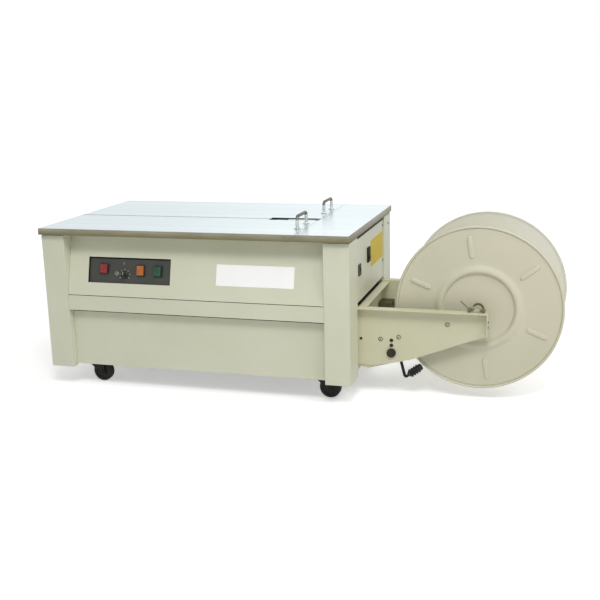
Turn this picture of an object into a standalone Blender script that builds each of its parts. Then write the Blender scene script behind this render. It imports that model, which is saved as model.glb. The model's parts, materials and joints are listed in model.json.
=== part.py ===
"""Semi-automatic strapping machine: low steel cabinet on casters, hinged stainless table lids over a
heat-seal strapping head, sloping control panel, and a strap reel carried on two side arms.
Metres. Inside the build functions x runs from the table's left edge, y from its front edge, z from the floor."""
import math

import bmesh
import bpy
from mathutils import Matrix, Quaternion, Vector

for old in list(bpy.data.objects):
    bpy.data.objects.remove(old, do_unlink=True)

# ---- driving sizes
TABLE_L = 0.900  # table length
TABLE_D = 0.570  # table depth
TABLE_H = 0.470  # table surface above the floor
RIM_H = 0.0185  # folded table rim
SHEET = 0.0015  # panel and table sheet
FRAME_T = 0.002  # legs, rails and deck sheet
ARM_T = 0.0025  # reel arms and their bracket
GAP = 0.0005  # between pieces that lie on each other
RUN = 0.0003  # between a moving piece and what guides it
INSET_X = 0.002  # cabinet side inside the table's end
INSET_Y = 0.012  # leg face behind the table's front edge
LEG_W = 0.070
LEG_D = 0.093
LEG_RETURN = 0.024
LEG_BASE = 0.062  # underside of a leg above the floor
RAIL_LOW, RAIL_TOP = TABLE_H - 0.236, TABLE_H - 0.1925
SLOT_Y = TABLE_D / 2 - 0.0304  # strap slot, centre
SLOT_W = 0.006
LID_L = TABLE_L - 0.1455  # the two hinged lids end here
WELL_X0, WELL_W = LID_L - 0.1465, 0.040  # opening over the strapping head
REEL_R = 0.2228
REEL_X, REEL_Z = TABLE_L + REEL_R + 0.0927, REEL_R + 0.0337  # reel axis
AXLE_R = 0.010
ARM_Y = 0.117  # outer face of the front arm's web
REEL_FRONT = ARM_Y + 0.035
REEL_BACK = TABLE_D - REEL_FRONT
ARM_FLANGE = 0.025
ARM_TOP = REEL_Z + 0.0006
ARM_END = REEL_X + 0.0305
WHEEL_R, WHEEL_W = 0.030, 0.020
CASTER_X, CASTER_Y, CASTER_TRAIL = 0.100, 0.093, 0.024
FRAME_LOW = 0.0785  # underside of the base frame
BRAKE_R = REEL_R + 0.0019  # the shoe's end, from the reel axis
PIVOT_X = REEL_X - 0.6652 * BRAKE_R - 0.078  # brake lever pivot
PIVOT_Z = REEL_Z - 0.7467 * BRAKE_R + 0.0423
BRAKE_Y = ARM_Y + 0.028
HINGE_Y, HINGE_Z, HINGE_R = 0.0065, TABLE_H - 0.015, 0.0035
HANDLE_X = LID_L - 0.0185
SLOPE_LOW = (0.0125, RAIL_TOP + 0.001)  # control panel's lower corner, (y, z)
SLOPE_TOP = (0.058, TABLE_H - 0.0225)
CAM_X0, CAM_Z = LID_L - 0.0745, TABLE_H - 0.170
FEED_X, FEED_Z = LID_L + 0.0455, TABLE_H - 0.130

MIDDLE = TABLE_D / 2
LENGTH = REEL_X + REEL_R
SHIFT = Vector((-LENGTH / 2, -MIDDLE, 0.0))
LID_UNDER = TABLE_H - SHEET
LEG_TOP = TABLE_H - 0.022
PANEL_TOP = LEG_TOP - 0.003
FRAME_TOP = LID_UNDER - GAP
LEAN = math.atan2(SLOPE_TOP[0] - SLOPE_LOW[0], SLOPE_TOP[1] - SLOPE_LOW[1])

FINISH = {
    "paint": ((0.69, 0.68, 0.58, 1), 0.42, 0.0),
    "stainless": ((0.72, 0.75, 0.77, 1), 0.28, 1.0),
    "steel": ((0.50, 0.50, 0.49, 1), 0.38, 1.0),
    "chrome": ((0.80, 0.80, 0.80, 1), 0.12, 1.0),
    "dark": ((0.06, 0.06, 0.06, 1), 0.50, 0.0),
    "plate": ((0.07, 0.07, 0.065, 1), 0.55, 0.0),
    "black": ((0.02, 0.02, 0.02, 1), 0.45, 0.0),
    "rubber": ((0.018, 0.018, 0.018, 1), 0.80, 0.0),
    "red": ((0.42, 0.02, 0.03, 1), 0.35, 0.0),
    "orange": ((0.62, 0.20, 0.02, 1), 0.35, 0.0),
    "green": ((0.02, 0.16, 0.07, 1), 0.35, 0.0),
    "lamp": ((0.22, 0.24, 0.18, 1), 0.25, 0.0),
    "grey": ((0.13, 0.12, 0.10, 1), 0.55, 0.0),
    "motor": ((0.10, 0.14, 0.16, 1), 0.50, 0.0),
    "alloy": ((0.55, 0.56, 0.57, 1), 0.40, 1.0),
}


def material_for(name, finish):
    colour, roughness, metallic = FINISH[finish]
    made = bpy.data.materials.new(name)
    made.use_nodes = True
    shader = made.node_tree.nodes["Principled BSDF"]
    shader.inputs["Base Color"].default_value = colour
    shader.inputs["Roughness"].default_value = roughness
    shader.inputs["Metallic"].default_value = metallic
    made.diffuse_color = colour
    return made


def place(name, bm, finish, origin=(0, 0, 0)):
    """A mesh built in machine coordinates becomes an object whose origin is at that point."""
    bmesh.ops.recalc_face_normals(bm, faces=bm.faces)
    bmesh.ops.translate(bm, vec=-Vector(origin), verts=bm.verts)
    mesh = bpy.data.meshes.new(name)
    bm.to_mesh(mesh)
    bm.free()
    made = bpy.data.objects.new(name, mesh)
    bpy.context.scene.collection.objects.link(made)
    made.location = Vector(origin) + SHIFT
    if finish:
        mesh.materials.append(material_for(name, finish))
    return made


def tool(bm, name):
    """A hidden helper for a Boolean."""
    made = place(name, bm, None)
    made.hide_render = True
    made.display_type = "WIRE"
    return made


def combine(target, bm, operation):
    step = target.modifiers.new(operation.lower(), "BOOLEAN")
    step.operation = operation
    step.solver = "EXACT"
    step.object = tool(bm, f"tool_{target.name}_{len(target.modifiers)}")


def cut(target, *shapes):
    for bm in shapes:
        combine(target, bm, "DIFFERENCE")


def add(target, *shapes):
    for bm in shapes:
        combine(target, bm, "UNION")


PLANES = {
    "x": lambda a, b, h: (h, a, b),
    "y": lambda a, b, h: (a, h, b),
    "z": lambda a, b, h: (a, b, h),
}


def prism(outline, axis, low, high):
    """A flat outline pushed along one axis. It lies in (y, z), (x, z) or (x, y)."""
    bm = bmesh.new()
    where = PLANES[axis]
    rings = [[bm.verts.new(where(a, b, h)) for a, b in outline] for h in (low, high)]
    count = len(outline)
    for ring in rings:
        bm.faces.new(ring)
    for i in range(count):
        j = (i + 1) % count
        bm.faces.new((rings[0][i], rings[0][j], rings[1][j], rings[1][i]))
    bmesh.ops.recalc_face_normals(bm, faces=bm.faces)
    return bm


def box(x0, x1, y0, y1, z0, z1):
    return prism([(x0, y0), (x1, y0), (x1, y1), (x0, y1)], "z", z0, z1)


def folded(path, thick, side=1):
    """The closed outline of a folded sheet: its outer line and the same line a thickness to one side."""
    points = [Vector(p) for p in path]
    inner = []
    for i, here in enumerate(points):
        normals = []
        for a, b in ((i - 1, i), (i, i + 1)):
            if a >= 0 and b < len(points):
                run = (points[b] - points[a]).normalized()
                normals.append(Vector((run.y, -run.x)) * side)
        bisector = sum(normals, Vector((0, 0))).normalized()
        inner.append(here + bisector * (thick / bisector.dot(normals[0])))
    return [tuple(p) for p in points] + [tuple(p) for p in reversed(inner)]


def turned(profile, axis, centre, segments=48):
    """A closed (radius, height) profile turned about an axis. A radius of 0 makes a point on it."""
    bm = bmesh.new()
    where = {
        "x": lambda r, h, c, s: (h, centre[0] + r * c, centre[1] + r * s),
        "y": lambda r, h, c, s: (centre[0] + r * c, h, centre[1] + r * s),
        "z": lambda r, h, c, s: (centre[0] + r * c, centre[1] + r * s, h),
    }[axis]
    rings = []
    for r, h in profile:
        if r == 0:
            rings.append([bm.verts.new(where(0, h, 1, 0))] * segments)
            continue
        ring = []
        for k in range(segments):
            angle = 2 * math.pi * k / segments
            ring.append(bm.verts.new(where(r, h, math.cos(angle), math.sin(angle))))
        rings.append(ring)
    for i in range(len(rings)):
        a, b = rings[i], rings[(i + 1) % len(rings)]
        for k in range(segments):
            m = (k + 1) % segments
            corners = []
            for vert in (a[k], a[m], b[m], b[k]):
                if vert not in corners:
                    corners.append(vert)
            if len(corners) > 2:
                bm.faces.new(corners)
    bmesh.ops.recalc_face_normals(bm, faces=bm.faces)
    return bm


def rod(axis, centre, radius, low, high, segments=32):
    return turned([(0, low), (radius, low), (radius, high), (0, high)], axis, centre, segments)


def rounded(path, fillet, steps=5):
    """A 3-D line with each inner corner rounded."""
    points = [Vector(p) for p in path]
    line = [points[0]]
    for before, here, after in zip(points, points[1:], points[2:]):
        a, b = (before - here).normalized(), (after - here).normalized()
        half = a.angle(b) / 2
        back = fillet / math.tan(half)
        middle = here + (a + b).normalized() * (fillet / math.sin(half))
        start, end = here + a * back - middle, here + b * back - middle
        for k in range(steps + 1):
            sweep = Quaternion(start.cross(end), start.angle(end) * k / steps)
            line.append(middle + sweep @ start)
    return line + [points[-1]]


def bar(path, radius, fillet, segments=12):
    """A round bar along a bent line."""
    line = rounded(path, fillet) if fillet else [Vector(p) for p in path]
    bm = bmesh.new()
    run = (line[1] - line[0]).normalized()
    side = run.orthogonal().normalized()
    rings = []
    for i, here in enumerate(line):
        ahead = (line[min(i + 1, len(line) - 1)] - here).normalized() if i + 1 < len(line) else run
        behind = (here - line[i - 1]).normalized() if i else ahead
        run = ahead
        level = (ahead + behind).normalized()
        side = (side - level * side.dot(level)).normalized()
        other = level.cross(side)
        ring = []
        for k in range(segments):
            angle = 2 * math.pi * k / segments
            ring.append(bm.verts.new(here + (side * math.cos(angle) + other * math.sin(angle)) * radius))
        rings.append(ring)
    for a, b in zip(rings, rings[1:]):
        for k in range(segments):
            m = (k + 1) % segments
            bm.faces.new((a[k], a[m], b[m], b[k]))
    bm.faces.new(rings[0])
    bm.faces.new(rings[-1])
    bmesh.ops.recalc_face_normals(bm, faces=bm.faces)
    return bm


def mirror_y(bm):
    """The same shape at the back of the machine."""
    bmesh.ops.scale(bm, vec=(1, -1, 1), verts=bm.verts)
    bmesh.ops.translate(bm, vec=(0, TABLE_D, 0), verts=bm.verts)
    bmesh.ops.recalc_face_normals(bm, faces=bm.faces)
    return bm


def mirror_x(bm):
    """The same shape at the right-hand end of the cabinet."""
    bmesh.ops.scale(bm, vec=(-1, 1, 1), verts=bm.verts)
    bmesh.ops.translate(bm, vec=(TABLE_L, 0, 0), verts=bm.verts)
    bmesh.ops.recalc_face_normals(bm, faces=bm.faces)
    return bm


# ---- cabinet
INNER_X = INSET_X + LEG_W + GAP  # panels start here
RETURN_Y = INSET_Y + LEG_RETURN
TIP_X = INSET_X + 0.018  # end of a leg's rear return
SIDE_Y = INSET_Y + LEG_D


def leg_shape():
    path = [
        (INSET_X + LEG_W, RETURN_Y),
        (INSET_X + LEG_W, INSET_Y),
        (INSET_X, INSET_Y),
        (INSET_X, SIDE_Y),
        (TIP_X, SIDE_Y),
    ]
    return prism(folded(path, FRAME_T), "z", LEG_BASE, LEG_TOP)


def slope_return():
    """A front leg's inner fold widens above the rail, up to the sloping panel's upper end."""
    x1 = INSET_X + LEG_W
    return box(x1 - FRAME_T, x1, RETURN_Y - FRAME_T, SLOPE_TOP[0] + FRAME_T, SLOPE_LOW[1], LEG_TOP)


def build_legs():
    add(place("leg_front_left", leg_shape(), "paint"), slope_return())
    add(place("leg_front_right", mirror_x(leg_shape()), "paint"), mirror_x(slope_return()))
    place("leg_rear_left", mirror_y(leg_shape()), "paint")
    place("leg_rear_right", mirror_x(mirror_y(leg_shape())), "paint")


def caster_points():
    for x in (CASTER_X, TABLE_L - INSET_X - CASTER_X):
        for y in (CASTER_Y, TABLE_D - CASTER_Y):
            yield x, y


def build_base():
    y0, y1 = RETURN_Y + GAP, TABLE_D - RETURN_Y - GAP
    x0, x1 = TIP_X + GAP, TABLE_L - TIP_X - GAP
    bar_w = 0.030
    base = place("base_frame", box(x0, x1, y0, y1, FRAME_LOW, FRAME_LOW + 0.025), "paint")
    middle = box(CASTER_X + bar_w, TABLE_L - CASTER_X - bar_w, y0 + bar_w, y1 - bar_w, 0.05, 0.15)
    cut(base, middle)
    for x, y in caster_points():
        add(base, rod("z", (x, y), 0.016, FRAME_LOW - 0.004, FRAME_LOW + 0.002, 24))
    deck_top = RAIL_LOW - GAP
    deck = box(x0, x1, y0, y1, deck_top - FRAME_T, deck_top)
    place("mechanism_deck", deck, "steel")


def build_panels():
    back = 0.022
    rail = [
        (INSET_Y + back, RAIL_LOW),
        (INSET_Y, RAIL_LOW),
        (INSET_Y, RAIL_TOP),
        (INSET_Y + back, RAIL_TOP),
    ]
    right_x = TABLE_L - INNER_X
    place("front_rail", prism(folded(rail, FRAME_T), "x", INNER_X, right_x), "paint")
    low = LEG_BASE + 0.005
    lower_y = RETURN_Y - SHEET
    lower = box(INNER_X, right_x, lower_y, RETURN_Y, low, RAIL_LOW - GAP)
    place("lower_front_panel", lower, "paint")
    rear = mirror_y(box(INNER_X, right_x, RETURN_Y - SHEET, RETURN_Y, low, LEG_TOP))
    place("rear_panel", rear, "paint")
    slope = [
        (SLOPE_TOP[0] + 0.015, SLOPE_TOP[1]),
        SLOPE_TOP,
        SLOPE_LOW,
        (SLOPE_LOW[0] + back, SLOPE_LOW[1]),
    ]
    upper = prism(folded(slope, SHEET, -1), "x", INNER_X, right_x)
    upper = place("upper_front_panel", upper, "paint")
    cut(upper, on_slope(box(PLATE_X - PLATE_W / 2, PLATE_X + PLATE_W / 2, -0.01, 0.01,
                            PLATE_V - PLATE_H / 2, PLATE_V + PLATE_H / 2)))
    side_x = INSET_X + 0.004
    y0, y1 = SIDE_Y + GAP, TABLE_D - SIDE_Y - GAP
    left = box(side_x, side_x + SHEET, y0, y1, 0.075, PANEL_TOP)
    place("left_side_panel", left, "paint")
    right = mirror_x(box(side_x, side_x + SHEET, y0, y1, PANEL_LOW, PANEL_TOP))
    right = place("right_side_panel", right, "paint")
    cut(right, box(TABLE_L - 0.05, TABLE_L, *SWITCH_HOLE), box(TABLE_L - 0.05, TABLE_L, *INLET_HOLE))


# ---- table
def build_table_frame():
    x0, y0, bar_w, bridge = 0.015, 0.020, 0.030, 0.010
    x1, y1 = TABLE_L - x0, TABLE_D - y0
    frame = place("table_frame", box(x0, x1, y0, y1, LEG_TOP + GAP, FRAME_TOP), "paint")
    cut(
        frame,
        box(x0 + bar_w, LID_L - bridge, y0 + bar_w, y1 - bar_w, LEG_TOP - 0.01, TABLE_H),
        box(LID_L + bridge, x1 - bar_w, y0 + bar_w, y1 - bar_w, LEG_TOP - 0.01, TABLE_H),
    )
    for turn in (lambda bm: bm, mirror_y):
        end = LID_L - 0.0195
        web = box(0.020, end, HINGE_Y + 0.002, y0 + 0.001, HINGE_Z - 0.0012, HINGE_Z + 0.0012)
        add(frame, turn(web), turn(rod("x", (HINGE_Y, HINGE_Z), HINGE_R, 0.020, end, 16)))


def skirt_front(x0, x1):
    return box(x0, x1, 0, SHEET, TABLE_H - RIM_H, LID_UNDER + SHEET / 2)


def skirt_end(y0, y1, x0=0):
    return box(x0, x0 + SHEET, y0, y1, TABLE_H - RIM_H, LID_UNDER + SHEET / 2)


def build_table():
    near, far = SLOT_Y - SLOT_W / 2, SLOT_Y + SLOT_W / 2
    well_near, well_far = SLOT_Y - WELL_W / 2, SLOT_Y + WELL_W / 2
    front = [(0, 0), (LID_L, 0), (LID_L, well_near), (WELL_X0, well_near), (WELL_X0, near), (0, near)]
    back = [(0, far), (WELL_X0, far), (WELL_X0, well_far), (LID_L, well_far), (LID_L, TABLE_D)]
    back.append((0, TABLE_D))
    hinge = (0, HINGE_Y, HINGE_Z)
    lid = place("table_lid_front", prism(front, "z", LID_UNDER, TABLE_H), "stainless", hinge)
    add(lid, skirt_front(0, LID_L), skirt_end(0, near))
    hinge = (0, TABLE_D - HINGE_Y, HINGE_Z)
    lid = place("table_lid_rear", prism(back, "z", LID_UNDER, TABLE_H), "stainless", hinge)
    add(lid, mirror_y(skirt_front(0, LID_L)), skirt_end(far, TABLE_D))
    x0 = LID_L + 2 * GAP
    end = place("table_end_plate", box(x0, TABLE_L, 0, TABLE_D, LID_UNDER, TABLE_H), "stainless")
    add(
        end,
        skirt_front(x0, TABLE_L),
        mirror_y(skirt_front(x0, TABLE_L)),
        skirt_end(0, TABLE_D, TABLE_L - SHEET),
    )
    half, drop = 0.009, 0.025
    trough = [
        (SLOT_Y - 2 * half, FRAME_TOP),
        (SLOT_Y - half, FRAME_TOP),
        (SLOT_Y - half, FRAME_TOP - drop),
        (SLOT_Y + half, FRAME_TOP - drop),
        (SLOT_Y + half, FRAME_TOP),
        (SLOT_Y + 2 * half, FRAME_TOP),
    ]
    place("strap_channel", prism(folded(trough, 0.0012), "x", 0.0455, HEAD_X0 - GAP), "steel")


def build_handles():
    spread, rise, radius, foot_r = 0.088, 0.038, 0.0045, 0.009
    rear_y = TABLE_D - 0.155
    base = TABLE_H + RUN
    spots = (("lid_handle_front", 0.1375, HINGE_Y), ("lid_handle_rear", rear_y, TABLE_D - HINGE_Y))
    for name, centre, hinge_y in spots:
        near, far = centre - spread / 2, centre + spread / 2
        top = base + rise - radius
        path = [(HANDLE_X, near, base + 0.001), (HANDLE_X, near, top), (HANDLE_X, far, top)]
        path.append((HANDLE_X, far, base + 0.001))
        handle = place(name, bar(path, radius, 0.010), "chrome", (0, hinge_y, HINGE_Z))
        for y in (near, far):
            foot = [(0, base), (foot_r, base), (foot_r, base + 0.0015), (0.0055, base + 0.004), (0, base + 0.004)]
            add(handle, turned(foot, "z", (HANDLE_X, y), 20))


# ---- controls on the sloping panel: x along the machine, v up the slope, w outward
PLATE_X, PLATE_V, PLATE_W, PLATE_H = 0.259, 0.0741, 0.252, 0.073
PLATE_DEEP = 0.0055  # its face behind the panel's face


def on_slope(bm):
    """Geometry drawn with x, -w and v as its three axes is laid on the sloping panel."""
    lay = Matrix.Translation((0, *SLOPE_LOW)) @ Matrix.Rotation(-LEAN, 4, "X")
    bmesh.ops.transform(bm, matrix=lay, verts=bm.verts)
    return bm


def slope_point(x, v, w):
    lay = Matrix.Translation((0, *SLOPE_LOW)) @ Matrix.Rotation(-LEAN, 4, "X")
    return lay @ Vector((x, -w, v))


def slope_box(x, v, width, height, w0, w1):
    return on_slope(box(x - width / 2, x + width / 2, -w1, -w0, v - height / 2, v + height / 2))


BUTTONS = (
    ("power_button", "red", 0.181, 0.0779, 0.021, 0.024),
    ("feed_button", "orange", 0.293, 0.0757, 0.020, 0.027),
    ("reset_button", "green", 0.346, 0.0757, 0.020, 0.027),
)
KNOB = (0.2436, 0.0620)
LAMP = (0.2195, 0.0655)


def build_controls():
    rim, lip, thick = 0.005, SHEET + RUN, 0.002
    back = PLATE_DEEP + thick
    plate = slope_box(PLATE_X, PLATE_V, PLATE_W + 2 * rim, PLATE_H + 2 * rim, -back, -lip)
    plate = place("control_plate", plate, "plate")
    cut(plate, slope_box(PLATE_X, PLATE_V, PLATE_W, PLATE_H, -PLATE_DEEP, 0.01))
    for name, finish, x, v, width, height in BUTTONS:
        cut(plate, slope_box(x, v, width + 2 * RUN, height + 2 * RUN, -0.03, 0.03))
        cap = slope_box(x, v, width, height, -0.014, 0.0025)
        edges = [e for e in cap.edges]
        bmesh.ops.bevel(cap, geom=edges, offset=0.0012, segments=2, profile=0.5, affect="EDGES")
        place(name, cap, finish, slope_point(x, v, 0.0))
    stem_r, knob_r, lamp_r = 0.004, 0.0105, 0.0075
    face = -PLATE_DEEP
    cut(plate, on_slope(rod("y", KNOB, stem_r + RUN, -0.03, 0.03, 20)))
    cut(plate, on_slope(rod("y", LAMP, lamp_r - 0.0015 + RUN, -0.03, 0.03, 20)))
    knob = [
        (0, back + 0.004), (stem_r, back + 0.004), (stem_r, -face - RUN), (knob_r, -face - RUN),
        (knob_r, -face - 0.004), (knob_r - 0.002, -face - 0.013), (0, -face - 0.0135),
    ]
    place("length_knob", on_slope(turned(knob, "y", KNOB, 28)), "black", slope_point(KNOB[0], KNOB[1], 0))
    lamp = [
        (0, back + 0.006), (lamp_r - 0.0015, back + 0.006), (lamp_r - 0.0015, -face - RUN),
        (lamp_r, -face - RUN), (lamp_r, -face - 0.002), (lamp_r - 0.003, -face - 0.005), (0, -face - 0.0058),
    ]
    place("pilot_lamp", on_slope(turned(lamp, "y", LAMP, 24)), "lamp", slope_point(LAMP[0], LAMP[1], 0))


# ---- right-hand side: switch, inlet, bracket, arms
PANEL_LOW = REEL_Z + 0.0085
ROCKER_THROW = 18.0
SWITCH_Y, SWITCH_Z = 0.2565, TABLE_H - 0.0965
INLET_Y, INLET_Z = 0.1435, TABLE_H - 0.1175
SWITCH_HOLE = (SWITCH_Y - 0.0115, SWITCH_Y + 0.0115, SWITCH_Z - 0.018, SWITCH_Z + 0.018)
INLET_HOLE = (INLET_Y - 0.0105, INLET_Y + 0.0105, INLET_Z - 0.0125, INLET_Z + 0.0125)
PANEL_FACE = TABLE_L - INSET_X - 0.004


def build_side_fittings():
    face = PANEL_FACE + RUN
    y0, y1, z0, z1 = SWITCH_HOLE
    body = box(PANEL_FACE - 0.022, face + 0.003, y0 + RUN, y1 - RUN, z0 + RUN, z1 - RUN)
    body = place("power_switch", body, "black")
    add(body, box(face, face + 0.004, y0 - 0.003, y1 + 0.003, z0 - 0.003, z1 + 0.003))
    drum, half_w = 0.0135, 0.0085
    centre = (SWITCH_Z, face - 0.002)
    groove = rod("y", (centre[1], centre[0]), drum + 0.0005, SWITCH_Y - half_w - RUN, SWITCH_Y + half_w + RUN, 32)
    cut(body, groove)
    angles = [math.radians(90 + a) for a in range(15, 346, 15)]
    rocker = [(drum * math.sin(a), drum * math.cos(a)) for a in angles]
    rocker = [p for p in rocker if p[0] < 0.0085] + [(0.0068, 0.0)]
    rocker.sort(key=lambda p: math.atan2(p[1], p[0]))
    tilt = math.radians(ROCKER_THROW / 2)
    rocker = prism(rocker, "y", SWITCH_Y - half_w, SWITCH_Y + half_w)
    lay = Matrix.Translation((centre[1], 0, centre[0])) @ Matrix.Rotation(-tilt, 4, "Y")
    bmesh.ops.transform(rocker, matrix=lay, verts=rocker.verts)
    place("power_rocker", rocker, "black", (centre[1], SWITCH_Y, centre[0]))
    y0, y1, z0, z1 = INLET_HOLE
    inlet = box(PANEL_FACE - 0.024, face + 0.002, y0 + RUN, y1 - RUN, z0 + RUN, z1 - RUN)
    inlet = place("power_inlet", inlet, "grey")
    add(inlet, box(face, face + 0.003, y0 - 0.003, y1 + 0.003, z0 - 0.003, z1 + 0.003))
    cut(inlet, box(face - 0.016, face + 0.01, y0 + 0.003, y1 - 0.003, z0 + 0.006, z1 - 0.006))
    for dy, dz in ((-0.0045, -0.002), (0.0045, -0.002), (0, 0.003)):
        pin = box(face - 0.018, face - 0.002, INLET_Y + dy - 0.001, INLET_Y + dy + 0.001,
                  INLET_Z + dz - 0.002, INLET_Z + dz + 0.002)
        add(inlet, pin)


BRACKET_TOP = PANEL_LOW - 0.0125
BRACKET_LOW = 0.075
CHEEK = [
    (PANEL_FACE - 0.001, REEL_Z - 0.0245), (PIVOT_X + 0.042, REEL_Z - 0.0245), (PIVOT_X + 0.042, PIVOT_Z + 0.009),
    (PIVOT_X + 0.012, PIVOT_Z - 0.027), (PANEL_FACE + 0.028, PIVOT_Z - 0.049), (PANEL_FACE - 0.001, PIVOT_Z - 0.041),
]
ARM = [
    (PANEL_FACE + GAP, ARM_TOP), (ARM_END, ARM_TOP), (ARM_END, REEL_Z - 0.0655), (REEL_X - 0.0345, REEL_Z - 0.0885),
    (PIVOT_X + 0.060, PIVOT_Z - 0.0145), (PIVOT_X + 0.0175, PIVOT_Z - 0.026), (PANEL_FACE + 0.046, PIVOT_Z - 0.039),
    (PANEL_FACE + GAP, PIVOT_Z - 0.039),
]
GUIDE_Y, GUIDE_Z = TABLE_D - ARM_Y - 0.034, REEL_Z - 0.0655
GUIDE = (PANEL_FACE + RUN, PANEL_FACE + 0.040, GUIDE_Y - 0.027, GUIDE_Y + 0.027, GUIDE_Z - 0.023, GUIDE_Z + 0.009)


def build_bracket():
    y0, y1 = SIDE_Y + GAP, TABLE_D - SIDE_Y - GAP
    web = box(PANEL_FACE - ARM_T, PANEL_FACE, y0, y1, BRACKET_LOW, BRACKET_TOP)
    bracket = place("reel_bracket", web, "paint")
    inner = ARM_Y + ARM_T + RUN
    lip = box(PANEL_FACE - 0.001, PANEL_FACE + 0.023, inner, TABLE_D - inner, BRACKET_TOP - ARM_T, BRACKET_TOP)
    add(bracket, prism(CHEEK, "y", inner, inner + ARM_T), lip)
    add(bracket, mirror_y(prism(CHEEK, "y", inner, inner + ARM_T)))
    window = (GUIDE_Y - 0.012, GUIDE_Y + 0.012, GUIDE_Z - 0.005, GUIDE_Z + 0.005)
    cut(bracket, box(PANEL_FACE - 0.01, PANEL_FACE + 0.01, *window))
    cut(bracket, rod("y", (PIVOT_X, PIVOT_Z), 0.0053, ARM_Y - 0.017, ARM_Y + 0.023, 20))
    guide = place("strap_guide", box(*GUIDE), "black")
    cut(guide, box(PANEL_FACE - 0.05, PANEL_FACE + 0.1, *window))


def arm_shapes():
    flange_y = ARM_Y - ARM_FLANGE
    flange = box(PANEL_FACE + 0.0045, ARM_END, flange_y, ARM_Y + 0.001, ARM_TOP - ARM_T, ARM_TOP)
    end = box(ARM_END - ARM_T, ARM_END, flange_y, ARM_Y + 0.001, REEL_Z - 0.0655, ARM_TOP - 0.001)
    notch_r = AXLE_R + RUN
    low, high = ARM_Y - 0.013, ARM_Y + 0.013
    notch = box(REEL_X - notch_r, REEL_X + notch_r, low, high, REEL_Z, REEL_Z + 0.04)
    seat = rod("y", (REEL_X, REEL_Z), notch_r, low, high, 32)
    return prism(ARM, "y", ARM_Y, ARM_Y + ARM_T), (flange, end), (notch, seat)


def build_arms():
    web, more, holes = arm_shapes()
    front = place("reel_arm_front", web, "paint")
    add(front, *more)
    cut(front, *holes)
    for z in (PIVOT_Z + 0.035, PIVOT_Z + 0.021):
        cut(front, rod("y", (PIVOT_X, z), 0.0033, ARM_Y - 0.01, ARM_Y + 0.01, 14))
    stop_z = ARM_TOP + 0.005
    add(front, rod("y", (REEL_X + 0.0175, stop_z), 0.0055, ARM_Y - 0.012, ARM_Y, 20))
    head = [(0, ARM_Y - 0.006), (0.0125, ARM_Y - 0.006), (0.0125, ARM_Y + 0.001), (0.005, ARM_Y + 0.001)]
    head += [(0.005, BRAKE_Y + 0.010), (0, BRAKE_Y + 0.010)]
    add(front, turned(head, "y", (PIVOT_X, PIVOT_Z), 24))
    web, more, holes = arm_shapes()
    rear = place("reel_arm_rear", mirror_y(web), "paint")
    add(rear, *[mirror_y(bm) for bm in more])
    cut(rear, *[mirror_y(bm) for bm in holes])


def build_latch():
    hub_x, hub_z, hub_r = REEL_X - 0.0175, ARM_TOP + 0.0055 + RUN, 0.0055
    hub_y = ARM_Y - 0.006
    latch = rod("y", (hub_x, hub_z), hub_r, hub_y - 0.006, hub_y + 0.006, 20)
    latch = place("axle_latch", latch, "dark", (hub_x, hub_y, hub_z))
    path = [(hub_x - 0.003, hub_y, hub_z + 0.003), (hub_x - 0.024, hub_y, hub_z + 0.0226)]
    add(latch, bar(path, 0.0016, 0, 8))


# ---- reel
def build_reel():
    collar, end_r = AXLE_R + 0.0045, AXLE_R - 0.001
    y = [ARM_Y - 0.011, ARM_Y - 0.0095, ARM_Y + 0.0045, ARM_Y + 0.0165]
    y += [TABLE_D - h for h in reversed(y)]
    shaft = [
        (0, y[0]), (end_r, y[0]), (AXLE_R, y[1]), (AXLE_R, y[2]), (collar, y[2]), (collar, y[3]), (AXLE_R, y[3]),
        (AXLE_R, y[4]), (collar, y[4]), (collar, y[5]), (AXLE_R, y[5]), (AXLE_R, y[6]), (end_r, y[7]), (0, y[7]),
    ]
    centre = (REEL_X, REEL_Z)
    place("reel_axle", turned(shaft, "y", centre, 24), "steel", (REEL_X, MIDDLE, REEL_Z))
    bore = AXLE_R + 2 * RUN
    f = REEL_FRONT
    face = [
        (bore, f + 0.006), (0.093, f + 0.006), (0.101, f), (0.111, f), (0.119, f + 0.003),
        (REEL_R - 0.0063, f + 0.003), (REEL_R - 0.0048, f), (REEL_R - 0.0015, f), (REEL_R, f + 0.0018),
        (REEL_R, f + 0.0048), (REEL_R - 0.0015, f + 0.0065), (REEL_R - 0.0056, f + 0.0065),
        (REEL_R - 0.0068, f + 0.0045), (0.1175, f + 0.0045), (0.1100, f + 0.0015), (0.1020, f + 0.0015),
        (0.0940, f + 0.0075), (bore, f + 0.0075),
    ]
    for name, flip in (("reel_flange_front", lambda bm: bm), ("reel_flange_rear", mirror_y)):
        disc = place(name, flip(turned(face, "y", centre, 56)), "paint", (REEL_X, MIDDLE, REEL_Z))
        for k in range(6):
            rib = box(0.138, REEL_R - 0.0278, f + 0.0012, f + 0.0035, -0.0055, 0.0055)
            turn = Matrix.Translation((REEL_X, 0, REEL_Z)) @ Matrix.Rotation(-math.radians(38 + 60 * k), 4, "Y")
            bmesh.ops.transform(rib, matrix=turn, verts=rib.verts)
            add(disc, flip(rib))
    a, b = REEL_FRONT + 0.0075 + RUN, REEL_BACK - 0.0075 - RUN
    core_r, hub_r, wall, web = 0.100, 0.016, 0.0025, 0.002
    m = (a + b) / 2
    core = [
        (bore, a), (hub_r, a), (hub_r, m - web), (core_r - wall, m - web), (core_r - wall, a), (core_r, a),
        (core_r, b), (core_r - wall, b), (core_r - wall, m + web), (hub_r, m + web), (hub_r, b), (bore, b),
    ]
    place("reel_core", turned(core, "y", centre, 40), "grey", (REEL_X, MIDDLE, REEL_Z))


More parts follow.
